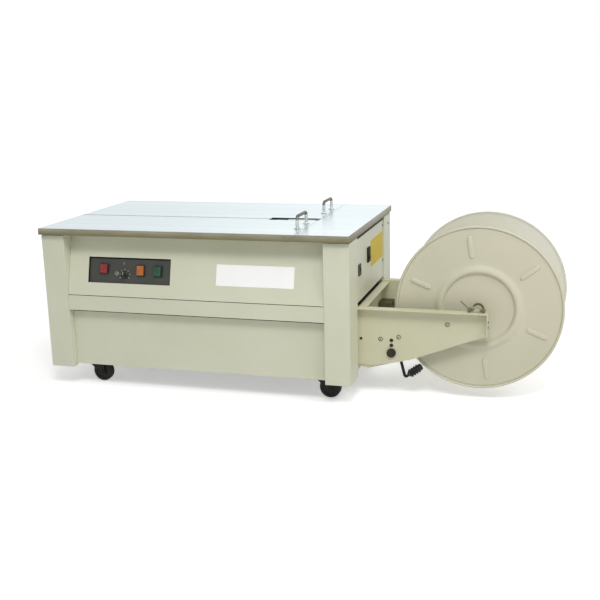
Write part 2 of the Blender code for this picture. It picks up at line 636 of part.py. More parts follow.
def build_brake():
    origin = (PIVOT_X, BRAKE_Y, PIVOT_Z)
    tip = Vector((PIVOT_X + 0.042, BRAKE_Y, PIVOT_Z - 0.0693))
    along = Vector((0.8, 0, 0.6))
    path = [
        (PIVOT_X + 0.004, BRAKE_Y, PIVOT_Z - 0.004), (PIVOT_X + 0.018, BRAKE_Y, PIVOT_Z - 0.018),
        (PIVOT_X + 0.0345, BRAKE_Y, PIVOT_Z - 0.0835), tuple(tip - along * 0.0022),
    ]
    lever = place("brake_lever", bar(path, 0.0042, 0.0045, 12), "black", origin)
    inner = ARM_Y + 2 * ARM_T + 3 * RUN
    add(lever, rod("y", (PIVOT_X, PIVOT_Z), 0.0095, inner, BRAKE_Y + 0.007, 24))
    cut(lever, rod("y", (PIVOT_X, PIVOT_Z), 0.005 + RUN, BRAKE_Y - 0.05, BRAKE_Y + 0.05, 24))
    shoe = [
        (0, 0), (0.006, 0), (0.0085, 0.004), (0.0120, 0.009), (0.0125, 0.013), (0.0125, 0.034), (0.0115, 0.038),
        (0.0095, 0.041), (0.0085, 0.045), (0, 0.045),
    ]
    bm = turned(shoe, "z", (0, 0), 24)
    turn = Matrix.Translation(tip) @ Vector((0, 0, 1)).rotation_difference(along).to_matrix().to_4x4()
    bmesh.ops.transform(bm, matrix=turn, verts=bm.verts)
    place("brake_shoe", bm, "rubber", origin)


# ---- strapping head
HEAD_X0, HEAD_X1 = LID_L - 0.1495, LID_L - 0.0105
BLOCK_Y0, BLOCK_Y1 = SLOT_Y - 0.0496, SLOT_Y + 0.0504
DECK_TOP = RAIL_LOW - GAP
BLOCK_LOW, BLOCK_TOP = TABLE_H - 0.070, TABLE_H - 0.015
BARS = (("gripper_left", CAM_X0 - 0.035), ("press_platen", CAM_X0), ("gripper_right", CAM_X0 + 0.035))
BAR_X, BAR_Y = 0.015, 0.023


def build_head():
    plate = 0.010
    base = box(HEAD_X0, HEAD_X1, BLOCK_Y0, BLOCK_Y1, DECK_TOP + GAP, DECK_TOP + 0.012)
    head = place("head_frame", base, "alloy")
    for x in (HEAD_X0, HEAD_X1 - plate):
        add(head, box(x, x + plate, BLOCK_Y0, BLOCK_Y1, DECK_TOP + 0.006, BLOCK_TOP))
    add(head, box(HEAD_X0 + 0.005, HEAD_X1 - 0.005, BLOCK_Y0, BLOCK_Y1, BLOCK_LOW, BLOCK_TOP - 0.0002))
    side = box(HEAD_X1 - 0.004, FEED_X + 0.050, BLOCK_Y1 - 0.008, BLOCK_Y1, FEED_Z - 0.040, FEED_Z + 0.100)
    add(head, side)
    for z in (FEED_Z, FEED_Z + 0.0365):
        add(head, rod("y", (FEED_X, z), 0.005, BLOCK_Y1 - 0.043, BLOCK_Y1 - 0.004, 20))
    for _, x in BARS:
        wide, deep = BAR_X / 2 + RUN, BAR_Y / 2 + RUN
        cut(head, box(x - wide, x + wide, SLOT_Y - deep, SLOT_Y + deep, BLOCK_LOW - 0.02, TABLE_H))
    cut(head, rod("x", (SLOT_Y, CAM_Z), 0.008 + RUN, HEAD_X0 - 0.02, HEAD_X1 + 0.02, 24))
    for name, x in BARS:
        low = CAM_Z + 0.0235
        piece = box(x - BAR_X / 2, x + BAR_X / 2, SLOT_Y - BAR_Y / 2, SLOT_Y + BAR_Y / 2, low, BLOCK_TOP - 0.003)
        place(name, piece, "steel", (x, SLOT_Y, low))
    slider_x0, slider_x1 = LID_L - 0.1295, LID_L - 0.0115
    slider = box(slider_x0, slider_x1, SLOT_Y - 0.008, SLOT_Y + 0.008, BLOCK_TOP + 0.0035, LID_UNDER - 0.0025)
    slider = place("top_slider", slider, "steel", (CAM_X0, SLOT_Y, BLOCK_TOP))
    for x in (slider_x0 + 0.001, slider_x1 - 0.011):
        add(slider, box(x, x + 0.010, SLOT_Y - 0.008, SLOT_Y + 0.008, BLOCK_TOP + RUN, BLOCK_TOP + 0.005))
    blade_y, top = BLOCK_Y0 + 0.002, BLOCK_TOP
    blade = box(CAM_X0 - 0.008, CAM_X0 + 0.008, blade_y + 0.013, SLOT_Y - 0.011, top + 0.0012, top + 0.0024)
    blade = place("heater_blade", blade, "dark", (CAM_X0, blade_y, top))
    add(blade, box(CAM_X0 - 0.014, CAM_X0 + 0.014, blade_y, blade_y + 0.017, top + RUN, top + 0.0075))


def build_drive():
    left, right = HEAD_X0 - 0.0145, HEAD_X1 + 0.024
    ends = [(0, left), (0.008, left)]
    for _, x in BARS:
        ends += [(0.008, x - 0.006), (0.019, x - 0.006), (0.019, x + 0.006), (0.008, x + 0.006)]
    ends += [(0.008, right), (0, right)]
    shaft = turned(ends, "x", (SLOT_Y, CAM_Z), 28)
    place("cam_shaft", shaft, "steel", (CAM_X0, SLOT_Y, CAM_Z))
    for name, z, radius, finish in (
        ("feed_roller_drive", FEED_Z, 0.020, "steel"),
        ("feed_roller_pinch", FEED_Z + 0.0365, 0.016, "rubber"),
    ):
        low, high = BLOCK_Y1 - 0.041, BLOCK_Y1 - 0.008 - GAP
        wheel = [(0.005 + RUN, low), (radius, low), (radius, high), (0.005 + RUN, high)]
        place(name, turned(wheel, "y", (FEED_X, z), 32), finish, (FEED_X, BLOCK_Y1 - 0.025, z))
    end = HEAD_X0 - GAP
    gearbox = box(end - 0.070, end, SLOT_Y - 0.045, SLOT_Y + 0.045, CAM_Z - 0.045, CAM_Z + 0.045)
    motor = place("gear_motor", gearbox, "motor")
    add(motor, rod("x", (SLOT_Y, CAM_Z), 0.038, end - 0.200, end - 0.065, 32))
    add(motor, box(end - 0.160, end - 0.110, SLOT_Y - 0.020, SLOT_Y + 0.020, CAM_Z + 0.030, CAM_Z + 0.055))
    add(motor, box(end - 0.180, end - 0.010, SLOT_Y - 0.030, SLOT_Y + 0.030, DECK_TOP + GAP, CAM_Z - 0.030))
    cut(motor, rod("x", (SLOT_Y, CAM_Z), 0.008 + RUN, end - 0.025, end + 0.01, 24))


def build_inside_boxes():
    low = DECK_TOP + GAP
    x0, x1, y0, y1, top = TABLE_L - 0.450, TABLE_L - 0.050, BLOCK_Y1 + 0.040, BLOCK_Y1 + 0.080, TABLE_H - 0.040
    pool = place("strap_pool_box", box(x0, x1, y0, y1, low, top), "steel")
    cut(pool, box(x0 + SHEET, x1 - SHEET, y0 + SHEET, y1 - SHEET, low + SHEET, top + 0.01))
    x0, x1, y0, y1, top = 0.110, 0.370, 0.100, 0.210, low + 0.096
    case = place("electrical_box", box(x0, x1, y0, y1, low, top), "paint")
    cut(case, box(x0 + SHEET, x1 - SHEET, y0 + SHEET, y1 - SHEET, low - 0.01, top - SHEET))


# ---- casters
def build_casters():
    names = ("front_left", "rear_left", "front_right", "rear_right")
    top = FRAME_LOW - 0.004 - RUN
    cheek_y, cheek_t, bridge = WHEEL_W / 2 + 0.0015, 0.002, 0.0025
    for name, (x, y) in zip(names, caster_points()):
        hub = x + CASTER_TRAIL
        seat_z = WHEEL_R + 0.0325
        fork = place(f"caster_fork_{name}", rod("z", (x, y), 0.014, seat_z, top, 24), "steel", (x, y, top))
        add(fork, box(x - 0.014, x + 0.030, y - cheek_y - cheek_t, y + cheek_y + cheek_t, seat_z, seat_z + bridge))
        outline = [
            (x - 0.014, seat_z + 0.001), (x - 0.012, seat_z - 0.010), (hub - 0.009, WHEEL_R - 0.003),
            (hub - 0.005, WHEEL_R - 0.008), (hub + 0.005, WHEEL_R - 0.008), (hub + 0.009, WHEEL_R - 0.003),
            (x + 0.030, seat_z - 0.008), (x + 0.030, seat_z + 0.001),
        ]
        add(
            fork,
            prism(outline, "y", y - cheek_y - cheek_t, y - cheek_y),
            prism(outline, "y", y + cheek_y, y + cheek_y + cheek_t),
            rod("y", (hub, WHEEL_R), 0.004, y - cheek_y - cheek_t - 0.002, y + cheek_y + cheek_t + 0.002, 16),
        )
        half, bevel = WHEEL_W / 2, 0.003
        tyre = [
            (0.004 + RUN, y - half - 0.001), (0.009, y - half - 0.001), (0.009, y - half + 0.002),
            (0.020, y - half + 0.002), (0.021, y - half), (WHEEL_R - bevel, y - half), (WHEEL_R, y - half + bevel),
            (WHEEL_R, y + half - bevel), (WHEEL_R - bevel, y + half), (0.021, y + half), (0.020, y + half - 0.002),
            (0.009, y + half - 0.002), (0.009, y + half + 0.001), (0.004 + RUN, y + half + 0.001),
        ]
        wheel = turned(tyre, "y", (hub, WHEEL_R), 24)
        place(f"caster_wheel_{name}", wheel, "rubber", (hub, y, WHEEL_R))


build_legs()
build_base()
build_panels()
build_table_frame()
build_table()
build_handles()
build_controls()
build_side_fittings()
build_bracket()
build_arms()
build_latch()
build_reel()
build_brake()
build_head()
build_drive()
build_inside_boxes()
build_casters()
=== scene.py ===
"""Semi-automatic strapping machine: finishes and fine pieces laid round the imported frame. Metres, +Z up.
Places inside a section are measured from the table's front left corner: x along it, y to the back, z up."""
import json
import math

import bmesh
import bpy
from mathutils import Matrix, Vector


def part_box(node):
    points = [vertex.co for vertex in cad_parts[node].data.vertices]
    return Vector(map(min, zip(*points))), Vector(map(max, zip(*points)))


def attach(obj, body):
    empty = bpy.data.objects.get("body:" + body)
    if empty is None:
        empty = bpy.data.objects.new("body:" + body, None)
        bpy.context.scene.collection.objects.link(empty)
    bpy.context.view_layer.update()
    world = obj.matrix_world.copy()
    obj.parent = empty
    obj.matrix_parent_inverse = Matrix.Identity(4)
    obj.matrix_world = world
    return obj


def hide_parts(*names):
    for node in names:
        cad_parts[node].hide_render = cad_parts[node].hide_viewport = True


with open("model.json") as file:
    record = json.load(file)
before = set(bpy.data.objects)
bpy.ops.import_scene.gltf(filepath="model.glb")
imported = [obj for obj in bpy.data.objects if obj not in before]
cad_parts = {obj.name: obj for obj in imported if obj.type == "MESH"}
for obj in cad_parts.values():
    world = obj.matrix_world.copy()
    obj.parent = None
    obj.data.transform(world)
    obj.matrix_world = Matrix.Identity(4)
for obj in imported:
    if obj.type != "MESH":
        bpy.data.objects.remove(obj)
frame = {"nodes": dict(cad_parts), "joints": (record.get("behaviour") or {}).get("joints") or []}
nodes = frame["nodes"]
joints = {joint["name"]: joint for joint in frame["joints"]}
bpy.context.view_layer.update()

# ---- Cabinet: four folded corner posts, a folded rail, flat and sloping panels, and the frame below them.
# Cold-rolled sheet 1.5 to 2 mm thick, welded and spot-welded, then powder-coated in a pale greenish cream. The
# coat gives a soft sheen with a faint orange peel, a little uneven in tone, and it thins to a paler line at folds.
CREAM = ("#d3d4bf", "#cbccb5")
PEEL = 0.0016  # real peel is near 1 mm; drawn a little coarser so that it shows


def linear(code):
    """An sRGB hex colour as the linear values that a shader takes."""
    parts = [int(code[i:i + 2], 16) / 255 for i in (1, 3, 5)]
    return [c / 12.92 if c <= 0.04045 else ((c + 0.055) / 1.055) ** 2.4 for c in parts] + [1.0]


def add_node(material, kind, settings=None, links=None):
    """One node with its sockets and properties set, and outputs of other nodes linked into it."""
    made = material.node_tree.nodes.new(kind)
    for key, value in (settings or {}).items():
        if isinstance(key, int) or key in made.inputs:
            made.inputs[key].default_value = value
        else:
            setattr(made, key, value)
    for key, source in (links or {}).items():
        material.node_tree.links.new(source, made.inputs[key])
    return made


def finish(name, tones, grain, rough, relief, stretch=(1, 1, 1), metallic=0.0, patch=0.22, wear=None, fold=0.0008,
           gloss=0.5, painted_shade=None):
    """A material of two tones in soft patches and grain. grain, relief, patch and the rounding of folds are in
    metres; rough is the range that the grain moves roughness through; wear is the tone along folds; painted_shade
    is a darker tone, painted shade, that the colour falls to below a height, over a band between two heights."""
    made = bpy.data.materials.new(name)
    made.use_nodes = True
    shader = made.node_tree.nodes["Principled BSDF"]
    shader.inputs["Metallic"].default_value = metallic
    shader.inputs["Specular IOR Level"].default_value = gloss
    join = made.node_tree.links.new
    where = add_node(made, "ShaderNodeTexCoord").outputs["Object"]
    drawn = add_node(made, "ShaderNodeMapping", {"Scale": stretch}, {"Vector": where}).outputs["Vector"]
    fine = add_node(made, "ShaderNodeTexNoise", {"Scale": 1 / grain, "Detail": 3.0}, {"Vector": drawn})
    broad = add_node(made, "ShaderNodeTexNoise", {"Scale": 1 / patch, "Detail": 4.0}, {"Vector": drawn})
    share = add_node(
        made, "ShaderNodeMath", {"operation": "MULTIPLY_ADD", 1: 0.35},
        {0: fine.outputs["Fac"], 2: broad.outputs["Fac"]},
    )
    share = add_node(made, "ShaderNodeMapRange", {"From Min": 0.42, "From Max": 0.92}, {"Value": share.outputs[0]})
    colour = add_node(
        made, "ShaderNodeMix", {"data_type": "RGBA", 6: linear(tones[0]), 7: linear(tones[1])},
        {0: share.outputs[0]},
    ).outputs[2]
    # Painted shade: below a given height the colour falls to a darker tone.
    if painted_shade:
        low_tone, low, high = painted_shade
        height = add_node(made, "ShaderNodeSeparateXYZ", links={"Vector": where}).outputs["Z"]
        height = add_node(made, "ShaderNodeMapRange", {"From Min": low, "From Max": high}, {"Value": height})
        colour = add_node(
            made, "ShaderNodeMix", {"data_type": "RGBA", 6: linear(low_tone)}, {0: height.outputs[0], 7: colour},
        ).outputs[2]
    soft = add_node(made, "ShaderNodeBevel", {"samples": 4, "Radius": fold}).outputs["Normal"]
    if wear:
        flat = add_node(made, "ShaderNodeNewGeometry").outputs["Normal"]
        near = add_node(made, "ShaderNodeVectorMath", {"operation": "DOT_PRODUCT"}, {0: soft, 1: flat})
        near = add_node(
            made, "ShaderNodeMapRange", {"From Min": 0.99, "From Max": 0.80, "To Max": 0.55},
            {"Value": near.outputs["Value"]},
        )
        colour = add_node(
            made, "ShaderNodeMix", {"data_type": "RGBA", 7: linear(wear)}, {0: near.outputs[0], 6: colour},
        ).outputs[2]
    join(colour, shader.inputs["Base Color"])
    sheen = add_node(
        made, "ShaderNodeMapRange", {"From Min": 0.3, "From Max": 0.7, "To Min": rough[0], "To Max": rough[1]},
        {"Value": fine.outputs["Fac"]},
    )
    join(sheen.outputs[0], shader.inputs["Roughness"])
    bump = add_node(
        made, "ShaderNodeBump", {"Distance": relief, "Strength": 0.6}, {"Height": fine.outputs["Fac"], "Normal": soft},
    )
    join(bump.outputs["Normal"], shader.inputs["Normal"])
    return made


def dress(names, *materials, crease=35):
    """CAD nodes take their finish, and shade smoothly up to the crease angle. Their vertices stay as they are."""
    for name in names:
        piece = nodes[name]
        piece.data.materials.clear()
        for material in materials:
            piece.data.materials.append(material)
        if "custom_normal" in piece.data.attributes:
            piece.data.attributes.remove(piece.data.attributes["custom_normal"])
        piece.data.shade_smooth()
        weld = piece.modifiers.new("weld", "WELD")
        weld.merge_threshold = 0.00001
        split = piece.modifiers.new("creases", "EDGE_SPLIT")
        split.split_angle = math.radians(crease)
        split.use_edge_sharp = False


def pick_faces(name, index, test):
    """Faces of a CAD node whose centre and normal pass the test take another of its materials."""
    for face in nodes[name].data.polygons:
        if test(face.center, face.normal):
            face.material_index = index


corner = Vector((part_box("table_lid_front")[0].x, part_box("table_end_plate")[0].y, 0.0))


def at(x, y, z):
    return corner + Vector((x, y, z))


enamel = finish("powder_coated_steel_cream", CREAM, PEEL, (0.40, 0.50), 0.00005, wear="#dcddcb", gloss=0.35)
cabinet_sheet = [f"leg_{end}" for end in ("front_left", "front_right", "rear_left", "rear_right")]
cabinet_sheet += ["front_rail", "upper_front_panel", "lower_front_panel", "rear_panel", "left_side_panel"]
cabinet_sheet += ["right_side_panel", "base_frame", "table_frame", "electrical_box"]
dress(cabinet_sheet, enamel)
# The frame's two outer ends lie in the gap under the table and are painted a dark olive, painted shade for that gap.
ON_FACE = 0.0005  # a face whose centre is nearer than this to a plane lies on it
shade_gap = finish("painted_shade_dark_olive", ("#3b3a2c", "#2f2e23"), 0.0030, (0.7, 0.8), 0.0, gloss=0.1)
nodes["table_frame"].data.materials.append(shade_gap)
frame_ends = [limit.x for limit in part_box("table_frame")]
pick_faces("table_frame", 1, lambda centre, normal: min(abs(centre.x - end) for end in frame_ends) < ON_FACE)

# ---- Table: two hinged lids and a fixed end plate, folded down 18 mm at their edges.
# Stainless sheet 1.5 mm thick, brushed along its length. The top mirrors the light above in a cool white with
# faint long lines. The folded rim is painted a brownish grey, which is painted shade and reflection, and it falls
# darker towards its lower edge, also painted shade.
BRUSH = (0.012, 1.0, 1.0)  # the brush lines run along X, near 80 times longer than they are wide
brushed = finish(
    "stainless_brushed", ("#d7e3e6", "#ccd9dd"), 0.0022, (0.24, 0.36), 0.00003, stretch=BRUSH, metallic=1.0,
    patch=0.05, fold=0.0006,
)
# Painted shade and reflection: the rim's brownish grey, darkening towards its lower edge.
rim_painted_shade = finish(
    "stainless_rim_painted_shade", ("#9b9884", "#7a7762"), 0.0030, (0.38, 0.52), 0.00004, stretch=(0.20, 0.20, 1.0),
    metallic=0.6, patch=0.02, wear="#c2bfae", fold=0.0010, painted_shade=("#6d674a", 0.4530, 0.4655),
)
# Painted shade: the lids' walls along the strap slot take a dark, nearly unmetallic grey for the shade in the slot.
slot_painted_shade = finish("slot_painted_shade_grey", ("#7b807b", "#686d69"), 0.0030, (0.5, 0.6), 0.0, metallic=0.1, patch=0.03)
table_sheet = ["table_lid_front", "table_lid_rear", "table_end_plate"]
dress(table_sheet, brushed, rim_painted_shade, slot_painted_shade)
table_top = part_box("table_end_plate")[1].z
# Half the slider's width, how deep the bright top goes, and how far from the slot's line its cut edges lie.
SLIDER_HALF, TOP_SKIN, SLOT_REACH = 0.008, 0.004, 0.022
slot_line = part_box("top_slider")[0].y + SLIDER_HALF
for name in table_sheet:
    pick_faces(name, 1, lambda centre, normal: abs(normal.z) < 0.5 or centre.z < table_top - TOP_SKIN)
    pick_faces(name, 2, lambda centre, normal: abs(normal.y) > 0.5 and abs(centre.y - slot_line) < SLOT_REACH)

# ---- Strap channel, deck and pool box: what lies under the table, in zinc-plated sheet.
# The plating is a dull bluish grey with a fine crystal mottling.
zinc = finish("zinc_plated_steel", ("#a9abac", "#8d9091"), 0.0040, (0.34, 0.50), 0.00003, metallic=1.0, patch=0.06)
dress(["strap_channel", "mechanism_deck", "strap_pool_box"], zinc)

# ---- Lid handles: a bent 9 mm bar on two round feet, screwed through each lid.
# Polished and chrome-plated steel. The top bars of the grips are painted a dull dark grey, a painted reflection.
chrome = finish("chrome_plate", ("#cfd0ce", "#bcbdbb"), 0.020, (0.10, 0.18), 0.0, metallic=1.0, fold=0.0005)
grip_painted_reflection = finish("chrome_grip_painted_reflection", ("#57564f", "#6d6b62"), 0.004, (0.32, 0.46), 0.0, metallic=0.7, patch=0.01)
lid_handles = ["lid_handle_front", "lid_handle_rear"]
GRIP_RISE = 0.0255  # above this height over the table the bar is what hands hold
dress(lid_handles, chrome, grip_painted_reflection, crease=50)
# Painted reflection: the bars above GRIP_RISE take the darker grip finish.
for name in lid_handles:
    pick_faces(name, 1, lambda centre, normal: centre.z > table_top + GRIP_RISE)

# ---- Control plate: a dark tray let into the sloping panel, with three push buttons, a lamp and a timer knob.
# The tray is sheet painted a matt dark grey; its dial marks are printed white.
knob_joint = joints["length_turn"]
knob_seat, outward = Vector(knob_joint["pos_m"]), Vector(knob_joint["axis"])
KNOB_X, KNOB_V, TRAY = 0.2436, 0.0620, 0.0055
slope = Matrix((Vector((1, 0, 0)), outward.cross(Vector((1, 0, 0))), outward)).transposed()


def on_slope(x, v, w=0.0):
    """The place at x along the table, v up the sloping panel and w out of it, with its Z axis outward."""
    centre = knob_seat + slope @ Vector((x - KNOB_X, v - KNOB_V, w))
    return Matrix.Translation(centre) @ slope.to_4x4()


def slab(size, round_corner=0.0, round_edge=0.0):
    """A block round its own centre; its four upright corners and then its other edges may be rounded."""
    bm = bmesh.new()
    bmesh.ops.create_cube(bm, size=1.0)
    bmesh.ops.scale(bm, vec=size, verts=bm.verts)
    if round_corner:
        upright = [e for e in bm.edges if abs(e.verts[0].co.z - e.verts[1].co.z) > size[2] / 2]
        bmesh.ops.bevel(
            bm, geom=upright, offset=round_corner, segments=6, profile=0.5, affect="EDGES", material=-1
        )
    if round_edge:
        sharp = [e for e in bm.edges if e.calc_face_angle(0.0) > 0.7]
        bmesh.ops.bevel(bm, geom=sharp, offset=round_edge, segments=3, profile=0.5, affect="EDGES", material=-1)
    return bm


def lay(target, part, place, index=0):
    """A part's mesh joins the target at a place, in one of its materials."""
    bmesh.ops.transform(part, matrix=place, verts=part.verts)
    for face in part.faces:
        face.material_index = index
    mesh = bpy.data.meshes.new("part")
    part.to_mesh(mesh)
    part.free()
    target.from_mesh(mesh)
    bpy.data.meshes.remove(mesh)


def piece(name, bm, body, materials, slot=None, crease=35):
    """A mesh that lies in place becomes a shown piece that rides on a body."""
    mesh = bpy.data.meshes.new(name)
    bm.to_mesh(mesh)
    bm.free()
    for material in materials:
        mesh.materials.append(material)
    mesh.shade_smooth()
    mesh.set_sharp_from_angle(angle=math.radians(crease))
    made = bpy.data.objects.new(name, mesh)
    bpy.context.scene.collection.objects.link(made)
    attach(made, body)
    return made


tray_grey = finish("matt_tray_paint", ("#393b35", "#30322d"), 0.0020, (0.50, 0.62), 0.00003, patch=0.05, fold=0.0004)
dress(["control_plate"], tray_grey)
white_ink = finish("white_print", ("#c9cbc2", "#bfc1b8"), 0.0010, (0.5, 0.6), 0.0, patch=0.02)
PRINT, DIAL_R, DIAL_STEP = 0.0002, 0.0155, 40
PRINT_W = -TRAY + PRINT / 2  # print lies on the tray's floor
marks = bmesh.new()
dial = on_slope(KNOB_X, KNOB_V, PRINT_W)
for k in range(-3, 4):
    turned = dial @ Matrix.Rotation(-math.radians(DIAL_STEP * k), 4, "Z") @ Matrix.Translation((0, DIAL_R, 0))
    lay(marks, slab((0.0012, 0.0036, PRINT)), turned)
piece("dial_marks", marks, "cabinet", [white_ink])
pointer = bmesh.new()
lay(pointer, slab((0.0030, 0.0080, PRINT), 0.0004), on_slope(0.2400, 0.0945, PRINT_W))
grey_ink = finish("grey_print", ("#84867d", "#7a7c73"), 0.0010, (0.5, 0.6), 0.0, patch=0.02)
piece("dial_pointer", pointer, "cabinet", [grey_ink])
tray_low, tray_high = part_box("control_plate")
tray_x = (tray_low.x + tray_high.x) / 2 - corner.x
TRAY_W, TRAY_H, TRAY_V = 0.2520, 0.0745, 0.0722
# Painted shade: a near-black olive strip round the tray's edge, wider at the top and left, for the shadow in the
# recess.
shade_strip_black = finish("painted_shade_strip_black", ("#1c1d12", "#15160e"), 0.0016, (0.62, 0.72), 0.0, patch=0.02, gloss=0.15)
tray_shade_frame = bmesh.new()
for across, along, width, height in (
    (0, TRAY_H / 2 - 0.0013, TRAY_W, 0.0026), (0, 0.0006 - TRAY_H / 2, TRAY_W, 0.0012),
    (0.0012 - TRAY_W / 2, 0, 0.0024, TRAY_H), (TRAY_W / 2 - 0.0008, 0, 0.0016, TRAY_H),
):
    lay(tray_shade_frame, slab((width, height, 0.0016), 0.0, 0.0003), on_slope(tray_x + across, TRAY_V + along, 0.0008 - TRAY))
piece("tray_edge_painted_shade", tray_shade_frame, "cabinet", [shade_strip_black], "rubber")

# ---- Push buttons: lens caps in a black bezel. The caps are clear acrylic in red, orange and green, gloss, with
# the lamp holder behind them showing as a paler middle.
gloss_black = finish("abs_gloss_black", ("#1c1c1b", "#171716"), 0.0030, (0.28, 0.36), 0.0, patch=0.03, fold=0.0004)
BEZEL_FRAME, BEZEL_LIP, BEZEL_DEEP = 0.0052, 0.0020, 0.0036
for name, body, code, glow, x, v, width, height in (
    ("power_button", "power_button_cap", "#781817", "#a32e2b", 0.181, 0.0779, 0.021, 0.024),
    ("feed_button", "feed_button_cap", "#974e18", "#bd702c", 0.293, 0.0757, 0.020, 0.027),
    ("reset_button", "reset_button_cap", "#0f3923", "#1f5938", 0.346, 0.0757, 0.020, 0.027),
):
    lens = finish(f"acrylic_{name}", (code, glow), 0.0060, (0.26, 0.36), 0.0, patch=0.016, fold=0.0010, gloss=0.35)
    lens.node_tree.nodes["Principled BSDF"].inputs["Coat Weight"].default_value = 0.15
    dress([name], lens)
    bezel = bmesh.new()
    bmesh.ops.create_grid(bezel, x_segments=1, y_segments=1, size=0.5)
    bmesh.ops.scale(bezel, vec=(width + BEZEL_FRAME, height + BEZEL_FRAME, 1), verts=bezel.verts)
    middle = bezel.faces[:]
    bmesh.ops.inset_region(bezel, faces=middle, thickness=BEZEL_LIP, use_boundary=True, use_even_offset=True)
    bmesh.ops.delete(bezel, geom=middle, context="FACES")
    bmesh.ops.solidify(bezel, geom=bezel.faces[:], thickness=BEZEL_DEEP)
    bmesh.ops.recalc_face_normals(bezel, faces=bezel.faces)
    ring = bmesh.new()
    lay(ring, bezel, on_slope(x, v, -TRAY + 0.0002))
    low = min((slope.transposed() @ (vert.co - on_slope(x, v).translation)).z for vert in ring.verts)
    bmesh.ops.translate(ring, vec=outward * (-TRAY + 0.0001 - low), verts=ring.verts)
    piece(f"{name}_bezel", ring, "cabinet", [gloss_black], "black_plastic")

# ---- Lamp and timer knob: a clear lens in a nut, and a fluted phenolic knob with a white pointer line. The knob is
# moulded in satin black, with a skirt, twelve flutes and a stem that goes through the tray.
lamp_lens = finish("acrylic_clear_lens", ("#5c624e", "#7c826c"), 0.0040, (0.12, 0.2), 0.0, patch=0.010)
dress(["pilot_lamp"], lamp_lens)


def turn(points, steps, closed=True):
    """A profile of (radius, height) points spun once round the Z axis."""
    axis = Vector((0, 0, 1))
    side = axis.orthogonal().normalized()
    bm = bmesh.new()
    verts = [bm.verts.new(side * r + axis * h) for r, h in points]
    ends = verts[1:] + verts[:1] if closed else verts[1:]
    edges = [bm.edges.new(pair) for pair in zip(verts, ends)]
    bmesh.ops.spin(
        bm, geom=verts + edges, cent=(0, 0, 0), axis=axis, dvec=(0, 0, 0), angle=2 * math.pi, steps=steps,
        use_merge=True,
    )
    bmesh.ops.remove_doubles(bm, verts=bm.verts, dist=0.000002)
    bmesh.ops.recalc_face_normals(bm, faces=bm.faces)
    return bm


phenolic = finish("phenolic_satin_black", ("#121211", "#0c0c0b"), 0.0030, (0.34, 0.44), 0.0, patch=0.02, fold=0.0005)
knob = bmesh.new()
skirt = [(0.0, -0.0052), (0.0100, -0.0052), (0.0105, -0.0046), (0.0100, -0.0022), (0.0078, -0.0010), (0.0, -0.0010)]
lay(knob, turn(skirt, 48, closed=False), on_slope(KNOB_X, KNOB_V))
FLUTES, FLUTE_CUT = 12, 0.07
barrel = [(0.0, -0.002), (0.0074, -0.002), (0.0070, 0.0068), (0.0062, 0.0078), (0.0, 0.0080)]
grip = turn(barrel, 48, closed=False)
for vert in grip.verts:
    reach = Vector((vert.co.x, vert.co.y, 0))
    if reach.length > 0.006:
        vert.co -= reach * FLUTE_CUT * (1 + math.cos(FLUTES * math.atan2(reach.y, reach.x))) / 2
lay(knob, grip, on_slope(KNOB_X, KNOB_V))
lay(knob, slab((0.0014, 0.0064, 0.0006), 0.0, 0.0001), on_slope(KNOB_X, KNOB_V + 0.0036, 0.0079), 1)
lay(knob, slab((0.0014, 0.0005, 0.0086)), on_slope(KNOB_X, KNOB_V + 0.0072, 0.0026), 1)
stem = [(0.0, -0.012), (0.0038, -0.012), (0.0038, -0.004), (0.0, -0.004)]
lay(knob, turn(stem, 20, closed=False), on_slope(KNOB_X, KNOB_V))
made = piece("length_knob_fluted", knob, "knob", [phenolic, white_ink], "black_plastic")
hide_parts("length_knob")

# ---- Painted shade along the rail: one near-black olive strip in the seam above the rail and one under the rail, along
# the whole front, for the shadow in the seam and under the rail's lip.
rail_shade_strips = bmesh.new()
rail_low, rail_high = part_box("front_rail")
slope_low, slope_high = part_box("upper_front_panel")
lower_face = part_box("lower_front_panel")[0].y
span, middle_x = rail_high.x - rail_low.x - 0.001, (rail_high.x + rail_low.x) / 2
lay(rail_shade_strips, slab((span, 0.0024, 0.0014), 0.0, 0.0003), Matrix.Translation(
    (middle_x, rail_low.y + 0.0009, (rail_high.z + slope_low.z) / 2)))
lay(rail_shade_strips, slab((span, 0.0010, 0.0076), 0.0, 0.0003), Matrix.Translation(
    (middle_x, lower_face - 0.0004, rail_low.z - 0.0042)))
piece("front_panel_painted_shade_strips", rail_shade_strips, "cabinet", [shade_strip_black], "rubber")

# ---- Closing strip: thin sheet laid on the sloping panel's top fold and under the table frame's bar, so that no
# gap is left between them. Its inner edge is turned up, and it is coated with the cabinet.
STRIP_WIDTH, STRIP_TURNUP, STRIP_SHEET = 0.0240, 0.0045, 0.0007
closing = bmesh.new()
bmesh.ops.create_grid(closing, x_segments=1, y_segments=1, size=0.5)
bmesh.ops.scale(closing, vec=(span, STRIP_WIDTH, 1), verts=closing.verts)
inner_edge = [e for e in closing.edges if all(v.co.y > 0 for v in e.verts)]
grown = bmesh.ops.extrude_edge_only(closing, edges=inner_edge)["geom"]
grown = [v for v in grown if isinstance(v, bmesh.types.BMVert)]
bmesh.ops.translate(closing, vec=(0, 0, STRIP_TURNUP), verts=grown)
bmesh.ops.recalc_face_normals(closing, faces=closing.faces)
bmesh.ops.solidify(closing, geom=closing.faces[:], thickness=STRIP_SHEET)
bmesh.ops.recalc_face_normals(closing, faces=closing.faces)
strip = bmesh.new()
lay(strip, closing, Matrix.Translation((middle_x, slope_high.y - 0.0130, slope_high.z + 0.0002)))
piece("closing_strip_front", strip, "cabinet", [enamel], "paint")

